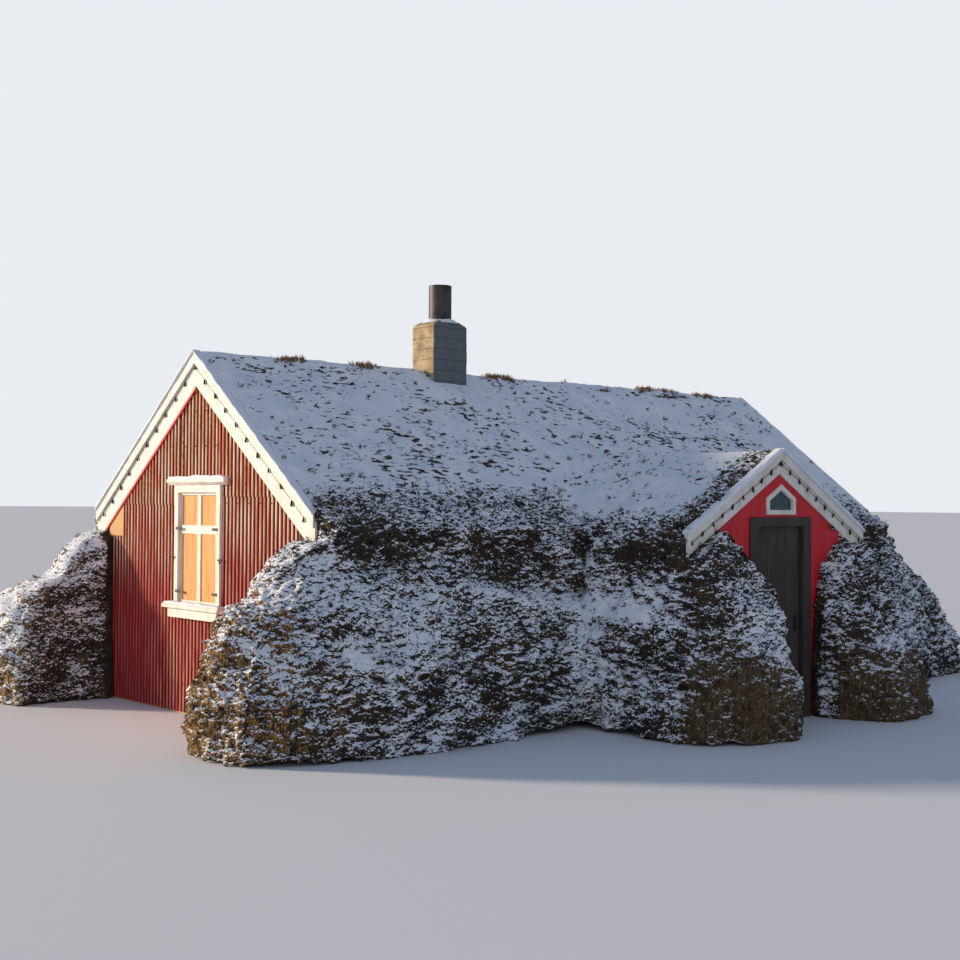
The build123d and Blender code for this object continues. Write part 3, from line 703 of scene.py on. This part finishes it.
def behind_boards(old, new):
    """Keeps turf that has moved behind the bargeboards and under their feet."""
    foot = porch_top(new.x) - PORCH_BARGEBOARD - CLEAR
    tail = max(TAIL_LEVEL, main_top(new.y) - BARGEBOARD) - CLEAR
    if old.y < PORCH_FACE - 0.02 and old.x < DOOR_X:
        rise = 1.7 + 0.75 * max(DOOR_X - PASSAGE_HALF - new.x, 0) ** 0.9 + 0.06 * rough(new, 0.3)
        new.z = min(new.z, rise, foot if new.x > PORCH_X - PORCH_HALF - 0.05 else rise)
    if PORCH_FACE + 0.03 < old.y < PORCH_FACE + 0.2 and abs(old.x - PORCH_X) < PORCH_HALF:
        new.y = max(new.y, PORCH_FACE + BEHIND_PORCH)
    if abs(new.y) < HALF_SPAN and new.z > tail:
        if ROOF_WEST - 0.03 < old.x < ROOF_EAST + 0.03:
            new.x = min(max(new.x, ROOF_WEST), ROOF_EAST)
        elif new.x < 0 or new.x > GABLE_SPACING:
            new.z = tail
    if abs(new.x - PORCH_X) < PORCH_HALF and new.z > foot:
        if old.y > PORCH_FACE - 0.03:
            new.y = max(new.y, PORCH_FACE)
        elif new.y > PORCH_FRONT - 0.01:
            new.z = foot
    new.z = max(new.z, 0.0)
    return new


def loose(p, n):
    """How clumpy the turf is: 1 on walls and along the eaves, less up the roofs."""
    steep = 1 - ramp(n.z, 0.3, 0.72)
    if on_porch_roof(p):
        eave = ramp(0.75 - (PORCH_HALF - abs(p.x - PORCH_X)), 0, 0.6)
        edge = max(eave, 0.8 * ramp(0.9 - (p.y - PORCH_FRONT), 0, 0.6))
    else:
        edge = ramp(0.6 - (HALF_SPAN - abs(p.y)), 0, 0.5)
    return max(steep, edge, 0.2 + 0.3 * rough(p, 0.8, 17))


def gully(p):
    """1 in the corners between the front walls and the porch's, where snow has drifted."""
    side = -1 if p.x < DOOR_X else 1
    along_porch = (side * (p.x - DOOR_X) - PASSAGE_HALF) / (GULLY_WEST if side < 0 else GULLY_EAST)
    along_front = (-ROOM_HALF - p.y) / GULLY_FRONT
    if along_porch < 0.3 or along_front < 0.3:
        return 0.0
    off = along_porch - along_front + 0.12 * rough(p, 0.5, 41)
    wide = 0.08 + 0.12 * ramp(1.9 - p.z, 0, 1.5)
    return math.exp(-((off / wide) ** 2)) * (1 - ramp(p.z, 1.7, 2.3))


def ledge(p):
    """1 along the sod ledge beside the gully that holds a smooth bank of snow."""
    if p.x > 3.3 or p.y < -4.2 or p.y > -ROOM_HALF:
        return 0.0
    level = 1.45 - 0.17 * (p.x - 1.7) + 0.05 * rough(p, 0.4, 11)
    return ramp(p.x, 1.3, 1.9) * math.exp(-(((p.z - level) / 0.11) ** 2))


def relief(p, n):
    """How far the turf stands out: big bulges, then clumps that hang over one another."""
    weather = outside(p)
    if weather == 0:
        return Vector()
    drift = max(0.7 * gully(p), ledge(p))
    share = loose(p, n) * (1 - 0.85 * drift)
    bulges = 0.13 * rough(p, 1.2, 21) + 0.1 * rough(p, 0.45, 31)
    folds = 0.05 * clumps(p, 0.17, 0.1, 4 * rough(p, 0.9, 3)) + 0.055 * clumps(p, 0.085, 0.055, 5)
    folds += 0.035 * clumps(p, 0.045, 0.035, 9)
    roof = 0.22 + 0.78 * (1 - ramp(n.z, 0.4, 0.75))
    out = n * (roof * bulges + share * (0.45 + 0.55 * roof) * folds + 0.07 * ledge(p))
    beyond = max(-p.x, p.x - GABLE_SPACING)
    out.z -= 0.3 * ramp(beyond, 0.1, 0.8) * ramp(p.z, 1.3, 1.9)
    if DOOR_X - 1.1 < p.x < DOOR_X and p.y < PORCH_FACE - 0.05:
        out.x += 0.13 * math.exp(-(((p.z - 1.52) / 0.2) ** 2)) * ramp(PORCH_FACE - p.y, 0.05, 0.2)
    if p.x < DOOR_X and PORCH_FACE - 0.3 < p.y < PORCH_FACE - 0.02:
        lump = ramp(p.x, 3.3, 3.55) * ramp(4.15 - p.x, 0, 0.3)
        out.z += 0.36 * lump * ramp(p.y - PORCH_FACE + 0.3, 0, 0.2) * ramp(p.z, 1.5, 1.8)
    return out * weather


def on_porch_roof(p):
    """Whether a place is on the turf of the porch's roof."""
    return abs(p.x - PORCH_X) < PORCH_HALF + 0.1 and p.y < -1.2 and p.z < porch_top(p.x) + 0.12


def worn_by_wind(p):
    """How much the snow of a roof is worn: most along the eaves and behind the porch's bargeboards."""
    if on_porch_roof(p):
        edge = 0.4 * ramp(0.55 - (p.y - PORCH_FRONT), 0, 0.3) + 0.25 * ramp(abs(p.x - PORCH_X), 1.25, 1.6)
    else:
        edge = 0.28 * ramp(0.45 - (HALF_SPAN - abs(p.y)), 0, 0.4)
        edge -= 0.2 * ramp(0.5 - min(p.x - ROOF_WEST, ROOF_EAST - p.x), 0, 0.4)
    return edge * (0.9 + 0.6 * rough(p, 0.5, 19)) + 0.12 * rough(p, 0.25, 27) - 0.04


def near_edge(p):
    """1 along the lower edges of the roofs and behind the porch's bargeboards, 0 further in."""
    if on_porch_roof(p):
        eave = ramp(0.5 - (PORCH_HALF - abs(p.x - PORCH_X)), 0, 0.35)
        return max(eave, ramp(0.6 - (p.y - PORCH_FRONT), 0, 0.25))
    return ramp(0.6 - (HALF_SPAN - abs(p.y)), 0, 0.45)


def under_eaves(p):
    """Whether a place of a wall lies under one of the eaves."""
    main = abs(p.y) < 3.1 and ROOF_WEST + 0.03 < p.x < ROOF_EAST - 0.03
    porch = abs(p.x - PORCH_X) < 2.2 and PORCH_FACE + 0.15 < p.y < -2.3
    return main or porch


def drifted(p):
    """How much more snow than usual lies at a place of the front wall or a gable's flank, or less."""
    beyond = max(-p.x, p.x - GABLE_SPACING)
    if p.y > ROOM_HALF and beyond > -0.2:
        upper = math.exp(-(((p.z - 1.9) / 0.3) ** 2))
        lower = math.exp(-(((p.z - 0.95) / 0.22) ** 2))
        return 0.5 * upper + 0.5 * lower - 0.1
    if p.y > -ROOM_HALF or p.x > PORCH_X - 0.7:
        return 0.0
    more = -0.35 * ramp(-p.x, 0.75, 1.15)
    along = p.x + max(-3.3 - p.y, 0) if p.x > 0 else p.x
    for middle, z, wide, tall, amount in DRIFTS:
        more += amount * math.exp(-(((along - middle) / wide) ** 2) - ((p.z - z) / tall) ** 2)
    return more


def snow_lying(p, n, up):
    """How much snow lies at a place whose laid slope is n and whose clumps face up by that much."""
    patches = 0.7 * rough(p, 0.75, 61) + 0.6 * rough(p, 0.3, 71)
    wall = 1 - ramp(n.z, 0.35, 0.75)
    hang = wall * ramp(p.z, 1.65, 1.95) * 0.45 * (1 + rough(p, 0.4, 51)) if under_eaves(p) else 0.0
    blown = (1 - wall) * worn_by_wind(p)
    bare_front = 0.7 * ramp(0.95 - p.z, 0, 0.25) * ramp(PORCH_FACE - 0.25 - p.y, 0, 0.2)
    level = 0.53 - 0.22 * wall + patches * (0.35 + 0.65 * wall) + hang + blown + bare_front
    level -= 0.75 * gully(p) + 0.6 * ledge(p) + drifted(p) + hang * gully(p)
    level -= 0.06 * wall if p.y < -2.6 else 0.0
    return (1.52 + 0.9 * (up - level)) * outside(p) - 1


def drape(x0, x1, toward):
    """Turf that rounds the step between the eave and the wall's head; toward is -1 front, 1 rear."""
    section = ((2.2, 2.1), (2.2, main_top(2.2)), (2.4, EAVE + 0.02), (2.64, 2.25), (2.7, 2.1))
    bm = bmesh.new()
    for x in (x0, x1):
        for y, z in section:
            bm.verts.new((x, toward * y, z))
    bmesh.ops.convex_hull(bm, input=bm.verts)
    return bm


def laid_turf(name, side, nodes, grain):
    """One closed surface of the turf nodes and of what fills the steps between them."""
    bm = copied(*nodes)
    for board, plane, away in EAVE_BOARDS[side]:
        part = copied(board)
        cut(part, plane, away)
        joined(bm, part)
    for centre, size in CORNER_SODS[side]:
        place = Matrix.Translation(centre) @ Matrix.Diagonal((*size, 1))
        bmesh.ops.create_icosphere(bm, subdivisions=3, radius=1, matrix=place)
    toward = -1 if side == "front" else 1
    for x0, x1 in DRAPES[side]:
        joined(bm, drape(x0, x1, toward))
    for x0, x1 in CRESTS:
        prism(bm, CREST, x0, x1)
    bm = remeshed(name, bm, grain)
    smoothed(bm, bm.verts, EASE_ROUNDS)
    smoothed(bm, [v for v in bm.verts if by_eaves(v.co) or gully(v.co) > 0.2], DRAPE_ROUNDS)
    bm.normal_update()
    return bm


def weathered(bm):
    """Moves laid turf into clumps, lays snow on them and thins the faces turned to the rooms."""
    laid = [(v.co.copy(), v.normal.copy()) for v in bm.verts]
    for v, (p, n) in zip(bm.verts, laid):
        v.co = behind_boards(p, p + relief(p, n))
    bm.normal_update()
    snow, roof = bm.verts.layers.float.new("snow"), bm.verts.layers.float.new("roof")
    for v, (p, n) in zip(bm.verts, laid):
        v[snow] = snow_lying(p, n, v.normal.z)
        v[roof] = ramp(n.z, 0.4, 0.75) * (1 - near_edge(p))
    covered = [v for v in bm.verts if v[snow] > 0.75]
    smoothed(bm, covered, EASE_ROUNDS)
    for v in covered:
        v.co.z += SNOW_THICK
    hidden = {v for v, (p, n) in zip(bm.verts, laid) if outside(p) == 0}
    inner = [e for e in bm.edges if e.verts[0] in hidden and e.verts[1] in hidden]
    bmesh.ops.dissolve_limit(bm, angle_limit=0.05, verts=list(hidden), edges=inner)


def skin(name, side, nodes, grain, cuts):
    """Turf nodes as one skin with clumps and lying snow, cut into pieces at those X planes."""
    bm = laid_turf(name, side, nodes, grain)
    weathered(bm)
    whole = mesh_of(name, bm)
    boxes = {node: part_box(node) for node in nodes}
    edges = [-math.inf, *cuts, math.inf]
    made = []
    for i, (low, high) in enumerate(zip(edges, edges[1:])):
        part = bmesh.new()
        part.from_mesh(whole)
        if low > -math.inf:
            cut(part, (low, 0, 0), (-1, 0, 0))
        if high < math.inf:
            cut(part, (high, 0, 0), (1, 0, 0))
        covers = [node for node in nodes if boxes[node][0][0] < high - 0.1 and boxes[node][1][0] > low + 0.1]
        made.append(piece(f"{name}_{i + 1}", part, "turf", replaces=covers, smooth=1.35))
    return made


def turf():
    """Front and rear skins, which meet at the crest."""
    front = skin("turf_front", "front", FRONT_TURF, FRONT_GRAIN, FRONT_CUTS)
    rear = skin("turf_rear", "rear", REAR_TURF, REAR_GRAIN, REAR_CUTS)
    return front + rear


def tuft_shapes(count, blades, long, wide, spread):
    """Several different tufts of blades that splay from one root along +Z."""
    shapes = []
    for _ in range(count):
        bm = bmesh.new()
        for _ in range(blades):
            tall = long * seed.uniform(0.5, 1.0)
            lean = Matrix.Rotation(seed.uniform(0, spread), 4, "X")
            turn = Matrix.Rotation(seed.uniform(0, math.tau), 4, "Z")
            root = Matrix.Translation((seed.uniform(-0.3, 0.3) * long, seed.uniform(-0.3, 0.3) * long, 0))
            place = root @ turn @ lean @ Matrix.Translation((0, 0, tall / 2))
            bmesh.ops.create_cone(
                bm, cap_ends=True, segments=3, radius1=wide / 2, radius2=0, depth=tall, matrix=place
            )
        shapes.append(mesh_of("tuft", bm))
    return shapes


def scatter(name, source, wanted, chance, shapes, heading):
    """Tufts over a skin. Chance gives how likely one grows at a place, and heading its direction."""
    mesh = source.data
    faces = mesh.polygons
    total = sum(f.area for f in faces)
    bm = bmesh.new()
    for f in faces:
        share = chance(f.center, f.normal)
        if share <= 0 or seed.random() > share * wanted * f.area / total:
            continue
        direction = heading(f.center, f.normal)
        turn = Matrix.Rotation(seed.uniform(0, math.tau), 4, "Z")
        size = Matrix.Scale(seed.uniform(0.6, 1.25), 4)
        aim = direction.to_track_quat("Z", "Y").to_matrix().to_4x4()
        placed = seed.choice(shapes).copy()
        placed.transform(Matrix.Translation(f.center - 0.01 * f.normal) @ aim @ turn @ size)
        bm.from_mesh(placed)
        bpy.data.meshes.remove(placed)
    return piece(name, bm, "turf", made=GRASS)


def tuft_chance(p, n):
    """Where grass grows: on the weather side of walls, and on roofs along the edges and the ridge."""
    if outside(p) < 0.9 or p.z < 0.12:
        return 0
    if n.z < 0.5:
        return 0.55 + 0.5 * ramp(-n.x, 0.2, 0.9) + 0.5 * rough(p, 0.5, 81)
    on_ridge = max(math.exp(-(((p.x - x) / 0.16) ** 2)) for x in RIDGE_TUFTS) * ramp(0.12 - abs(p.y), 0, 0.08)
    on_porch = abs(p.x - PORCH_X) < PORCH_HALF and PORCH_FRONT < p.y < -1.2
    verge = ramp(0.45 - (p.y - PORCH_FRONT), 0, 0.3) if on_porch else 0
    return 0.03 + 0.25 * rough(p, 0.3, 91) + 10 * on_ridge + 2.2 * verge + 0.3 * loose(p, n)


def tuft_heading(p, n):
    """Blades stand out a little and hang down the slope, but stand up on the ridge."""
    fall = -1.1 if n.z < 0.5 else -0.5
    if abs(p.y) < 0.12 and n.z > 0.5:
        fall = 1.5
    return (n + Vector((seed.uniform(-0.4, 0.4), seed.uniform(-0.4, 0.4), fall))).normalized()


def grass(skins):
    """Tufts on every piece of skin, fewer on the rear."""
    shapes = tuft_shapes(count=8, blades=8, long=0.08, wide=0.011, spread=0.8)
    for skinned in skins:
        name = skinned.name.replace("turf", "grass")
        share = 1.0 * (TUFTS_REAR if "rear" in skinned.name else 1.0)
        scatter(name, skinned, share * TUFTS, tuft_chance, shapes, tuft_heading)


def iron_sheet(bm, side, ys, zs, lift):
    """Adds one corrugated sheet: ys and zs are its edges, and lift is how far it laps outwards."""
    wide, tall = ys[1] - ys[0], zs[1] - zs[0]
    columns = max(1, round(wide / PITCH * WAVE_STEPS))
    sheet = bmesh.new()
    crest = sheet.verts.layers.float.new("crest")
    upright = Matrix(((0, 0, 1, 0), (wide, 0, 0, sum(ys) / 2), (0, tall, 0, sum(zs) / 2), (0, 0, 0, 1)))
    bmesh.ops.create_grid(sheet, x_segments=columns, y_segments=1, size=0.5, matrix=upright)
    for slope in (-1, 1):
        under = Vector((0, 0, RIDGE - ROOF_DEPTH))
        geom = sheet.verts[:] + sheet.edges[:] + sheet.faces[:]
        normal = Vector((0, slope * MAIN_SLOPE, 1))
        bmesh.ops.bisect_plane(sheet, geom=geom, dist=1e-6, plane_co=under, plane_no=normal, clear_outer=True)
    face = -SHEET_OUT - lift
    for v in sheet.verts:
        wave = math.cos(math.tau * v.co.y / PITCH)
        v.co.x = face + WAVE / 2 * (1 + wave)
        # crest: 1 on the crests, 0 in the troughs, where the finish paints shade
        v[crest] = 0.5 - 0.5 * wave
    bmesh.ops.solidify(sheet, geom=sheet.faces[:], thickness=IRON)
    bmesh.ops.recalc_face_normals(sheet, faces=sheet.faces)
    if side > 0:
        across_gables(sheet)
    joined(bm, sheet)


def gable_iron():
    """Two lifts of corrugated sheets on each gable, the upper one lapped over the lower."""
    edge = ROOM_HALF - 0.01
    left, right = WINDOW_Y + WINDOW_HALF - CASING, WINDOW_Y - WINDOW_HALF + CASING
    for name, side in (("west", -1), ("east", 1)):
        bm = bmesh.new()
        for ys, lap in (((left, edge), LAP_REAR), ((-edge, right), LAP_FRONT)):
            iron_sheet(bm, side, ys, (SHEET_FOOT, lap + LAP), 0)
            iron_sheet(bm, side, ys, (lap, RIDGE), LAP_OUT)
        iron_sheet(bm, side, (right, left), (SHEET_FOOT, WINDOW_LOW), 0)
        iron_sheet(bm, side, (right, left), (WINDOW_HIGH - CASING, RIDGE), 0)
        for z in NAIL_ROWS:
            half = min(edge, (RIDGE - ROOF_DEPTH - z) / MAIN_SLOPE - 0.1)
            for i in range(-int(half / PITCH / 3), int(half / PITCH / 3) + 1):
                y = (3 * i + 0.5) * PITCH
                if abs(y - WINDOW_Y) < WINDOW_HALF and WINDOW_LOW < z < WINDOW_HIGH:
                    continue
                x = -SHEET_OUT - 0.006 if side < 0 else GABLE_SPACING + SHEET_OUT + 0.006
                place = Matrix.Translation((x, y, z))
                bmesh.ops.create_icosphere(bm, subdivisions=1, radius=NAIL, matrix=place)
        piece(f"{name}_corrugated_iron", bm, "red_iron", replaces=[f"{name}_gable_cladding"], smooth=0.9)


def boarded(name, nodes, width, slot, body="house"):
    """Upright slabs as boards side by side, with narrow gaps and eased edges."""
    bm = bmesh.new()
    for node in nodes:
        low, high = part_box(node)
        at = math.floor(low[0] / width) * width
        while at < high[0]:
            board = copied(node)
            cut(board, (at + BOARD_GAP / 2, 0, 0), (-1, 0, 0))
            cut(board, (at + width - BOARD_GAP / 2, 0, 0), (1, 0, 0))
            joined(bm, eased(board, FINE_ARRIS, 1))
            at += width
    return piece(name, bm, slot, body, replaces=nodes)


def woodwork():
    """Painted and tarred timber with eased edges, and boards where the real walls have them."""
    walls = ["porch_wall_west", "porch_wall_east", "porch_wall_over_door"]
    boarded("porch_boards_red", walls, PORCH_BOARD, "red_boards")
    boarded("door_planks", ["door"], DOOR_PLANK, "dark_wood", "door")
    for node, width in (
        ("west_bargeboards", ARRIS),
        ("east_bargeboards", ARRIS),
        ("west_verge_boards", ARRIS),
        ("east_verge_boards", ARRIS),
        ("porch_bargeboards", ARRIS),
        ("porch_verge_boards", ARRIS),
        ("west_window_casing", FINE_ARRIS),
        ("east_window_casing", FINE_ARRIS),
        ("west_window_sash", SASH_ARRIS),
        ("east_window_sash", SASH_ARRIS),
        ("porch_window_frame", FINE_ARRIS),
    ):
        piece(node + "_painted", eased(copied(node), width), "white_paint", replaces=[node])
    piece("door_frame_tarred", eased(copied("door_frame"), ARRIS), "dark_wood", replaces=["door_frame"])


def gable_trims():
    """Red battens under the rear bargeboards, a bare board at the west gable's rear corner, and the
    short tail pieces that hang from the ends of the porch's bargeboards."""
    top = RIDGE - BARGEBOARD - SEAM
    reach = (top - TAIL_LEVEL) / MAIN_SLOPE - BATTEN
    outline = [(0, top), (reach, top - MAIN_SLOPE * reach)]
    outline += [(reach, top - MAIN_SLOPE * reach - BATTEN), (0, top - BATTEN)]
    for name, x0, x1 in (("west", -0.098, ROOF_WEST - SEAM), ("east", ROOF_EAST + SEAM, ROOF_EAST + 0.027)):
        bm = bmesh.new()
        prism(bm, outline, x0, x1)
        piece(f"{name}_red_battens", eased(bm, TRIM_ARRIS, 1), "red_boards")
    bm = bmesh.new()
    edge, near = ROOM_HALF, CORNER_BOARD_Y
    foot = TAIL_LEVEL - 0.04
    under = RIDGE - BARGEBOARD - 0.033
    outline = [(near, foot), (edge, foot)] + [(y, under - MAIN_SLOPE * y) for y in (edge, near)]
    prism(bm, outline, -SHEET_OUT - CORNER_BOARD, -SHEET_OUT - SEAM)
    piece("west_corner_board", eased(bm, TRIM_ARRIS, 1), "bare_wood")
    bm = bmesh.new()
    back = PORCH_FRONT + 0.03
    for side in (-1, 1):
        x = PORCH_X + side * (PORCH_HALF - 0.035)
        low = porch_top(x) - PORCH_BARGEBOARD - TAIL_DROP
        box(bm, (x - TAIL_HALF, back, low), (x + TAIL_HALF, back + TAIL_THICK, low + TAIL_LONG))
    piece("porch_tail_pieces", eased(bm, FINE_ARRIS, 1), "white_paint")


def window_fittings():
    """Strap hinges on one stile and hooks on both, on each gable window."""
    face = -SHEET_OUT - FITTING_OUT
    edge = WINDOW_Y + WINDOW_HALF
    for name, side in (("west", -1), ("east", 1)):
        bm = bmesh.new()
        for z in (WINDOW_LOW + HINGE_ABOVE_SILL, HINGE_UPPER):
            low, high = z - HINGE_HALF, z + HINGE_HALF
            for y in (edge - CASING, WINDOW_Y - WINDOW_HALF + CASING + 0.05):
                box(bm, (face - HINGE_THICK, y - 0.08, low), (face + FITTING_SUNK, y + 0.03, high))
        for y in (edge + 0.012, WINDOW_Y - WINDOW_HALF - 0.012):
            for half, low in ((0.035, HOOK_BAR), (0.006, HOOK_LOW)):
                box(bm, (face - HOOK_THICK, y - half, low), (face + FITTING_SUNK, y + half, HOOK_TOP))
        if side > 0:
            across_gables(bm)
        piece(f"{name}_window_hinges", bm, "iron")


def string_of_lights(name, node, apex, run, slope, spacing, slack):
    """Cable with small lamps that hang from it along both boards of a gable, slack between them."""
    low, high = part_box(node)
    bm = bmesh.new()
    across = Vector(run)
    half = (Vector(high) - Vector(low)).dot(Vector((abs(run[0]), abs(run[1]), 0))) / 2
    along = math.hypot(1, slope)
    count = int(half * along / spacing)
    for side in (-1, 1):
        down = (across * side - Vector((0, 0, slope))).normalized()
        points = []
        for i in range(count * 4 + 1):
            sag = slack * math.sin(math.pi * (i % 4) / 4)
            points.append(Vector(apex) + down * (i * spacing / 4) - Vector((0, 0, sag)))
        for a, b in zip(points, points[1:]):
            span = b - a
            aim = span.to_track_quat("Z", "Y").to_matrix().to_4x4()
            place = Matrix.Translation((a + b) / 2) @ aim
            cable = {"segments": 6, "radius1": CABLE_RADIUS, "radius2": CABLE_RADIUS, "depth": span.length}
            bmesh.ops.create_cone(bm, cap_ends=True, matrix=place, **cable)
        for lamp in points[::4]:
            tilt = Matrix.Rotation(seed.uniform(-0.5, 0.5), 4, Vector((-run[1], run[0], 0)))
            leant = Matrix.Translation(lamp) @ tilt @ Matrix.Scale(seed.uniform(0.7, 1.1), 4)
            place = leant @ Matrix.Translation((0, 0, -0.014))
            socket = {"segments": 8, "radius1": 0.012, "radius2": 0.009, "depth": 0.03}
            bmesh.ops.create_cone(bm, cap_ends=True, matrix=place, **socket)
            bulb = leant @ Matrix.Translation((0, 0, -0.042)) @ Matrix.Diagonal((1, 1, 1.5, 1))
            bmesh.ops.create_icosphere(bm, subdivisions=1, radius=BULB_RADIUS, matrix=bulb)
    return piece(name, bm, "cable", replaces=[node], smooth=0.9)


def lights():
    """Strings of lights on the west gable and the porch's."""
    low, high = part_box("west_light_string")
    middle = ((low[0] + high[0]) / 2, 0, high[2] - 0.005)
    along = (0, 1, 0)
    string_of_lights("west_lights", "west_light_string", middle, along, MAIN_SLOPE, WEST_LAMPS, WEST_SAG)
    low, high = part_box("porch_light_string")
    middle = (PORCH_X, (low[1] + high[1]) / 2, high[2] - 0.005)
    along = (1, 0, 0)
    string_of_lights("porch_lights", "porch_light_string", middle, along, PORCH_SLOPE, PORCH_LAMPS, PORCH_SAG)


def snow_bar(bm, start, end, size, side):
    """A bank of settled snow on a ledge from start to end, as wide and tall as size says; side is the
    direction across the ledge."""
    start, end, side = Vector(start), Vector(end), Vector(side)
    wide, tall = size
    span = end - start
    bar = bmesh.new()
    bmesh.ops.create_cube(bar, size=1)
    longways = [e for e in bar.edges if abs((e.verts[0].co - e.verts[1].co).x) > 0.5]
    bmesh.ops.subdivide_edges(bar, edges=longways, cuts=max(2, int(span.length / 0.05)), use_grid_fill=True)
    upper = [e for e in bar.edges if all(v.co.z > 0 for v in e.verts) and e.calc_face_angle(0) > 0.5]
    bmesh.ops.bevel(bar, geom=upper, offset=0.35, segments=3, affect="EDGES", profile=0.5, material=-1)
    for v in bar.verts:
        place = start + span * (v.co.x + 0.5) + side * wide * v.co.y
        height = tall * (v.co.z + 0.5) * (1 + 0.45 * rough(place, 0.16, 3) + 0.35 * rough(place, 0.5, 9))
        v.co = place + Vector((0, 0, height)) + side * 0.1 * wide * rough(place, 0.1, 5)
    bmesh.ops.recalc_face_normals(bar, faces=bar.faces)
    joined(bm, bar)


def settled_snow():
    """Snow on the verge boards, the window sills and the cornices over them."""
    outward = (1, 0, 0)
    for name, x, out in (("west", -0.1, -1), ("east", GABLE_SPACING + 0.1, 1)):
        bm = bmesh.new()
        for side in (-1, 1):
            top = (x, 0, RIDGE - SUNK)
            foot = (x, side * HALF_SPAN, EAVE - SUNK)
            snow_bar(bm, top, foot, VERGE_SNOW, outward)
        for at, z, half, size in (
            (x + out * 0.035, WINDOW_LOW, 0.6, SILL_SNOW),
            (x, WINDOW_HIGH + 0.07, 0.62, CORNICE_SNOW),
        ):
            snow_bar(bm, (at, WINDOW_Y - half, z), (at, WINDOW_Y + half, z), size, outward)
        piece(f"{name}_gable_snow", bm, "turf", made=SNOW, smooth=0.9)
    bm = bmesh.new()
    for side in (-1, 1):
        top = (PORCH_X, PORCH_FRONT + 0.03, PORCH_RIDGE - SUNK)
        foot = (PORCH_X + side * PORCH_HALF, PORCH_FRONT + 0.03, PORCH_EAVE - SUNK)
        snow_bar(bm, top, foot, PORCH_SNOW, (0, 1, 0))
    piece("porch_gable_snow", bm, "turf", made=SNOW, smooth=0.9)


def chimney():
    """Block with worn corners and a rough skin, and snow on its sloped mortar round the pipe."""
    bm = eased(copied("chimney_block"), 0.015, 3)
    bm = remeshed("chimney", bm, CHIMNEY_GRAIN)
    bm.normal_update()
    for v in bm.verts:
        worn = 0.006 * rough(v.co, 0.3, 1) + 0.004 * rough(v.co, 0.06, 3)
        v.co += v.normal * worn
    piece("chimney_concrete", bm, "concrete", replaces=["chimney_block"], smooth=math.pi)
    low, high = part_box("chimney_pipe")
    middle = Vector(((low[0] + high[0]) / 2, 0, low[2]))
    snow = bmesh.new()
    ring = {"segments": 32, "radius1": 0.25, "radius2": 0.19, "depth": 0.05}
    bmesh.ops.create_cone(snow, cap_ends=True, matrix=Matrix.Translation(middle), **ring)
    bmesh.ops.subdivide_edges(snow, edges=snow.edges, cuts=2, use_grid_fill=True)
    for v in snow.verts:
        v.co.z += 0.025 * rough(v.co, 0.12, 3) if v.co.z > middle.z else 0
    piece("chimney_snow", snow, "turf", made=SNOW, smooth=0.9)


def carried_over():
    """Gives every CAD node that still shows its slot's finish."""
    for entry in frame["record"]["subparts"]:
        obj = frame["nodes"][entry["node"]]
        obj.data.materials.clear()
        obj.data.materials.append(FINISHES[entry["material_slot"]])


def stage():
    """Pale floor and pale sky, with the lamps and a cool fill all round."""
    scene = bpy.context.scene
    scene.view_settings.view_transform = "Standard"
    bm = bmesh.new()
    bmesh.ops.create_grid(bm, x_segments=1, y_segments=1, size=400)
    mesh = mesh_of("floor", bm)
    floor = bpy.data.objects.new("floor", mesh)
    scene.collection.objects.link(floor)
    pale = bpy.data.materials.new("floor, pale")
    pale.use_nodes = True
    shader = pale.node_tree.nodes["Principled BSDF"]
    shader.inputs["Base Color"].default_value = linear("#e4e6ea")
    shader.inputs["Roughness"].default_value = 0.9
    mesh.materials.append(pale)
    world = bpy.data.worlds.new("sky")
    world.use_nodes = True
    scene.world = world
    tree = world.node_tree
    tree.nodes.clear()
    seen = add(tree, "LightPath").outputs["Is Camera Ray"]
    fill = add(tree, "Background", {"Color": "#b9cdec", "Strength": 0.43})
    shown = add(tree, "Background", {"Color": "#e9ecf1", "Strength": 1.0})
    both = add(tree, "MixShader", {0: seen, 1: fill.outputs[0], 2: shown.outputs[0]})
    add(tree, "OutputWorld", {"Surface": both.outputs[0]})
    for name, energy, angle, colour, toward in LAMPS:
        light = bpy.data.lights.new(name, "SUN")
        light.energy, light.angle, light.color = energy, math.radians(angle), colour
        lamp = bpy.data.objects.new(name, light)
        lamp.rotation_euler = Vector(toward).to_track_quat("-Z", "Y").to_euler()
        scene.collection.objects.link(lamp)


def camera():
    """The photograph's place: low, front left of the porch, looking a little upwards."""
    heading, pitch, roll = (math.radians(angle) for angle in (CAMERA_HEADING, CAMERA_PITCH, CAMERA_ROLL))
    flat = math.cos(pitch)
    forward = Vector((math.cos(heading) * flat, math.sin(heading) * flat, math.sin(pitch)))
    level = Vector((math.sin(heading), -math.cos(heading), 0))
    upward = level.cross(forward)
    right = math.cos(roll) * level + math.sin(roll) * upward
    up = math.cos(roll) * upward - math.sin(roll) * level
    view = bpy.data.cameras.new("camera")
    view.lens, view.sensor_width, view.clip_end = LENS, 36, 500
    obj = bpy.data.objects.new("camera", view)
    turned = Matrix((right, up, -forward)).transposed().to_4x4()
    obj.matrix_world = Matrix.Translation(CAMERA_AT) @ turned
    bpy.context.scene.collection.objects.link(obj)
    bpy.context.scene.camera = obj


carried_over()
skins = turf()
grass(skins)
gable_iron()
woodwork()
gable_trims()
window_fittings()
lights()
settled_snow()
chimney()
stage()
camera()
